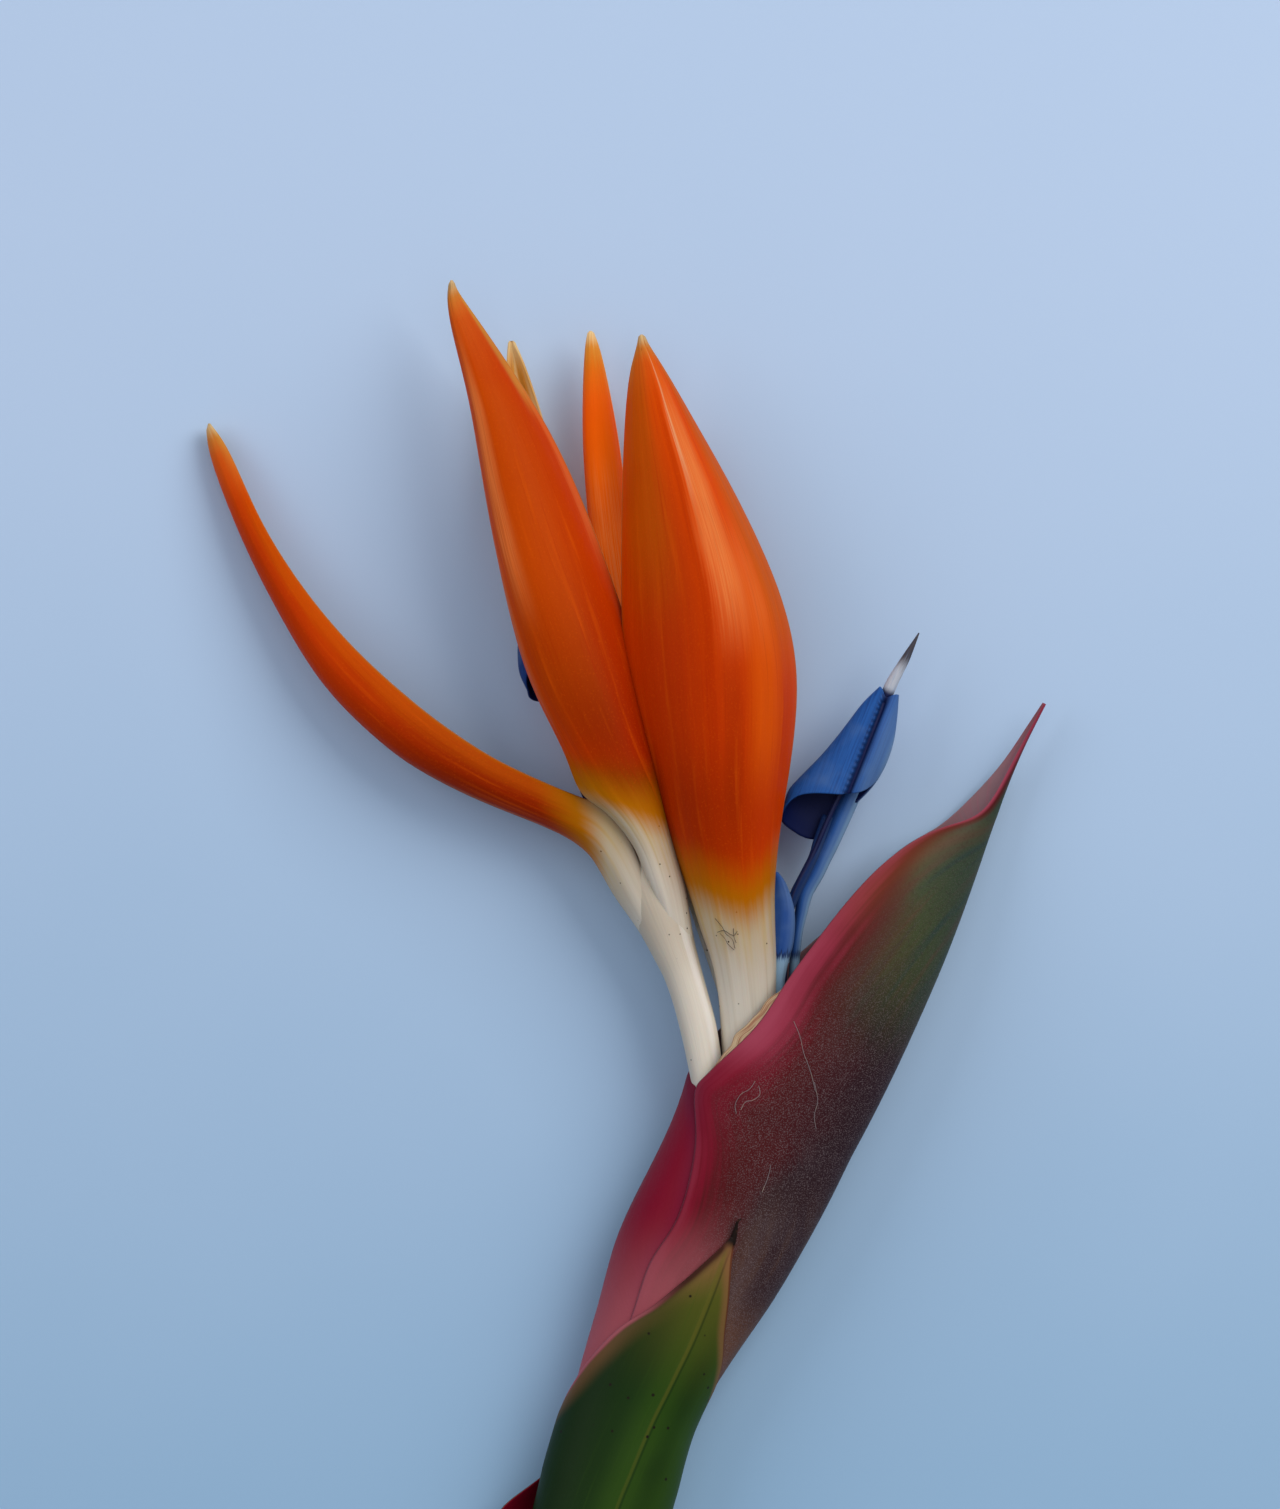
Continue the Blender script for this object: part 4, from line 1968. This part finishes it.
@dataclass
class Threads:
    """Fine dry hairs that lie on the second flower and on the spathe.

    Attributes:
        dark: Routes in x and y of the dark hairs on the large sepal's claw.
        pale: Routes in x and y of the pale hairs on the spathe.
        dark_radius, pale_radius: Their half thickness.
        touch: How near a point of the surface below has to be, in x and y, to carry a hair.
        settle: Share of a hair's length over which its height is evened out.
    """

    dark: tuple = (
        ((15.8, 31.7), (17.1, 30.1), (17.8, 28.9), (18.9, 27.9), (19.4, 26.3)),
        ((16.7, 29), (17.6, 28), (18.1, 27.1), (19.2, 26)),
        ((16.2, 29.2), (17.4, 29.5), (18.6, 28.8), (19.3, 28.7), (19.8, 29.4)),
        ((19.1, 29.9), (19.2, 28.4), (19.6, 27.3)),
    )
    pale: tuple = (
        ((29.9, 13.3), (31, 10.6), (31.7, 7.6), (32.9, 4.3), (33.8, 0.7)),
        ((33.6, 2.4), (34.2, -1), (33.6, -3.6), (33.9, -6)),
        ((19.6, -3.2), (19.4, -1.6), (20.4, 0.2), (22, 1.2), (23, 2.6)),
        ((20.4, -2.6), (21.2, -1.2), (22.6, -0.8), (23.8, 0.2), (23.6, 1.8)),
        ((25.8, -12.4), (25.3, -14.6), (24.2, -17.4)),
    )
    dark_radius: float = 0.048
    pale_radius: float = 0.045
    touch: float = 0.8
    settle: float = 0.06

    def drape(self, route: tuple, under: Patch, radius: float) -> Patch:
        """A hair laid along a route on the upper side of a patch.

        Args:
            route: Places in x and y.
            under: The patch it lies on.
            radius: Its half thickness.

        Returns:
            The hair's closed patch.
        """
        path = along(route, np.linspace(0, 1, 5 * len(route)))
        below = under.points.reshape(-1, 3)
        gap = np.linalg.norm(path[:, None] - below[None, :, :2], axis=2)
        height = np.where(gap < self.touch, below[None, :, 2], -np.inf).max(axis=1)
        size = np.full(len(path), radius)
        stations = np.column_stack([path, settled(height[:, None], self.settle), size, size])
        return Stalk(stations, rows=60, sides=8).patch()

    def build(self) -> None:
        """Makes the hairs."""
        claw, flank = LARGE_SEPAL.patch(), SpatheParts().boat()
        sets = (
            ("dark_hairs", self.dark, claw, self.dark_radius, Ink.BLACK_BROWN),
            ("pale_hairs", self.pale, flank, self.pale_radius, Ink.BLOOM),
        )
        for name, routes, under, radius, ink in sets:
            hairs = [self.drape(route, under, radius) for route in routes]
            add_piece(name, hairs, HairFinish(name + "_skin", ink), "papery_bract")


# Stage


@dataclass(frozen=True)
class Lamp:
    """A square area light that shines at the middle of the picture.

    Attributes:
        name: Name of the light.
        place: Where it hangs, in metres from the picture's middle.
        size: Side of the square in metres.
        watts: Power.
        tint: Colour.
    """

    name: str
    place: tuple
    size: float
    watts: float
    tint: Colour

    def build(self, middle: tuple) -> None:
        """Makes the light.

        Args:
            middle: What it shines at, in metres.
        """
        light = bpy.data.lights.new(self.name, "AREA")
        light.size = self.size
        light.energy = self.watts
        light.color = self.tint
        holder = bpy.data.objects.new(self.name, light)
        holder.location = Vector(middle) + Vector(self.place)
        holder.rotation_euler = (Vector(middle) - holder.location).to_track_quat("-Z", "Y").to_euler()
        bpy.context.scene.collection.objects.link(holder)


@dataclass
class Stage:
    """Pale blue surface, soft studio light and a camera that looks straight down.

    Attributes:
        middle: Middle of the picture, in metres.
        height: Height of the camera.
        focus_height: Height at which the picture has its true size.
        picture_height: Length that the picture shows there from top to bottom.
        sensor: Side of the camera's sensor in millimetres.
        near, far: Nearest and farthest that the camera sees.
        floor_size: Side of the floor.
        sky, sky_strength: Colour and strength of the light from all round.
        lamps: The area lights.
    """

    middle: tuple = (0.00234, 0.06111, 0)
    height: float = 2.0
    focus_height: float = 0.014
    picture_height: float = 0.27162
    sensor: float = 36.0
    near: float = 0.01
    far: float = 50.0
    floor_size: float = 6.0
    sky: Colour = (0.8, 0.87, 1)
    sky_strength: float = 0.27
    lamps: tuple = (
        Lamp("key", (0.75, 0.6, 0.9), 0.9, 11, (1, 0.97, 0.93)),
        Lamp("fill", (-0.95, 0.4, 0.8), 0.9, 4.5, (0.95, 0.97, 1)),
        Lamp("top", (0.1, 0.2, 1.7), 1.4, 3.5, (1, 1, 1)),
    )

    def floor(self) -> None:
        """A plain flat floor."""
        half = self.floor_size / 2
        corners = [(-half, -half, 0), (half, -half, 0), (half, half, 0), (-half, half, 0)]
        mesh = bpy.data.meshes.new("floor")
        mesh.from_pydata(corners, [], [(0, 1, 2, 3)])
        mesh.materials.append(FloorFinish("pale_blue_floor").material())
        floor = bpy.data.objects.new("floor", mesh)
        bpy.context.scene.collection.objects.link(floor)

    def light(self) -> None:
        """The lamps and the sky."""
        for lamp in self.lamps:
            lamp.build(self.middle)
        world = bpy.data.worlds.new("soft_sky")
        world.use_nodes = True
        background = world.node_tree.nodes["Background"]
        background.inputs["Color"].default_value = (*self.sky, 1)
        background.inputs["Strength"].default_value = self.sky_strength
        bpy.context.scene.world = world

    def camera(self) -> None:
        """A camera over the middle that looks straight down."""
        scene = bpy.context.scene
        camera = bpy.data.cameras.new("camera")
        camera.sensor_width = self.sensor
        camera.lens = self.sensor * (self.height - self.focus_height) / self.picture_height
        camera.clip_start = self.near
        camera.clip_end = self.far
        holder = bpy.data.objects.new("camera", camera)
        holder.location = (*self.middle[:2], self.height)
        scene.collection.objects.link(holder)
        scene.camera = holder
        scene.view_settings.view_transform = "Standard"

    def build(self) -> None:
        """Makes floor, lights, sky and camera."""
        self.floor()
        self.light()
        self.camera()


def main() -> None:
    """Builds the flower head and its stage in order."""
    logging.basicConfig(level=logging.INFO, format="%(message)s")
    Stage().build()
    for part in (StemParts(), SpatheParts(), FIRST_FLOWER, SECOND_FLOWER, Buds(), Threads()):
        part.build()


if __name__ == "__main__":
    main()
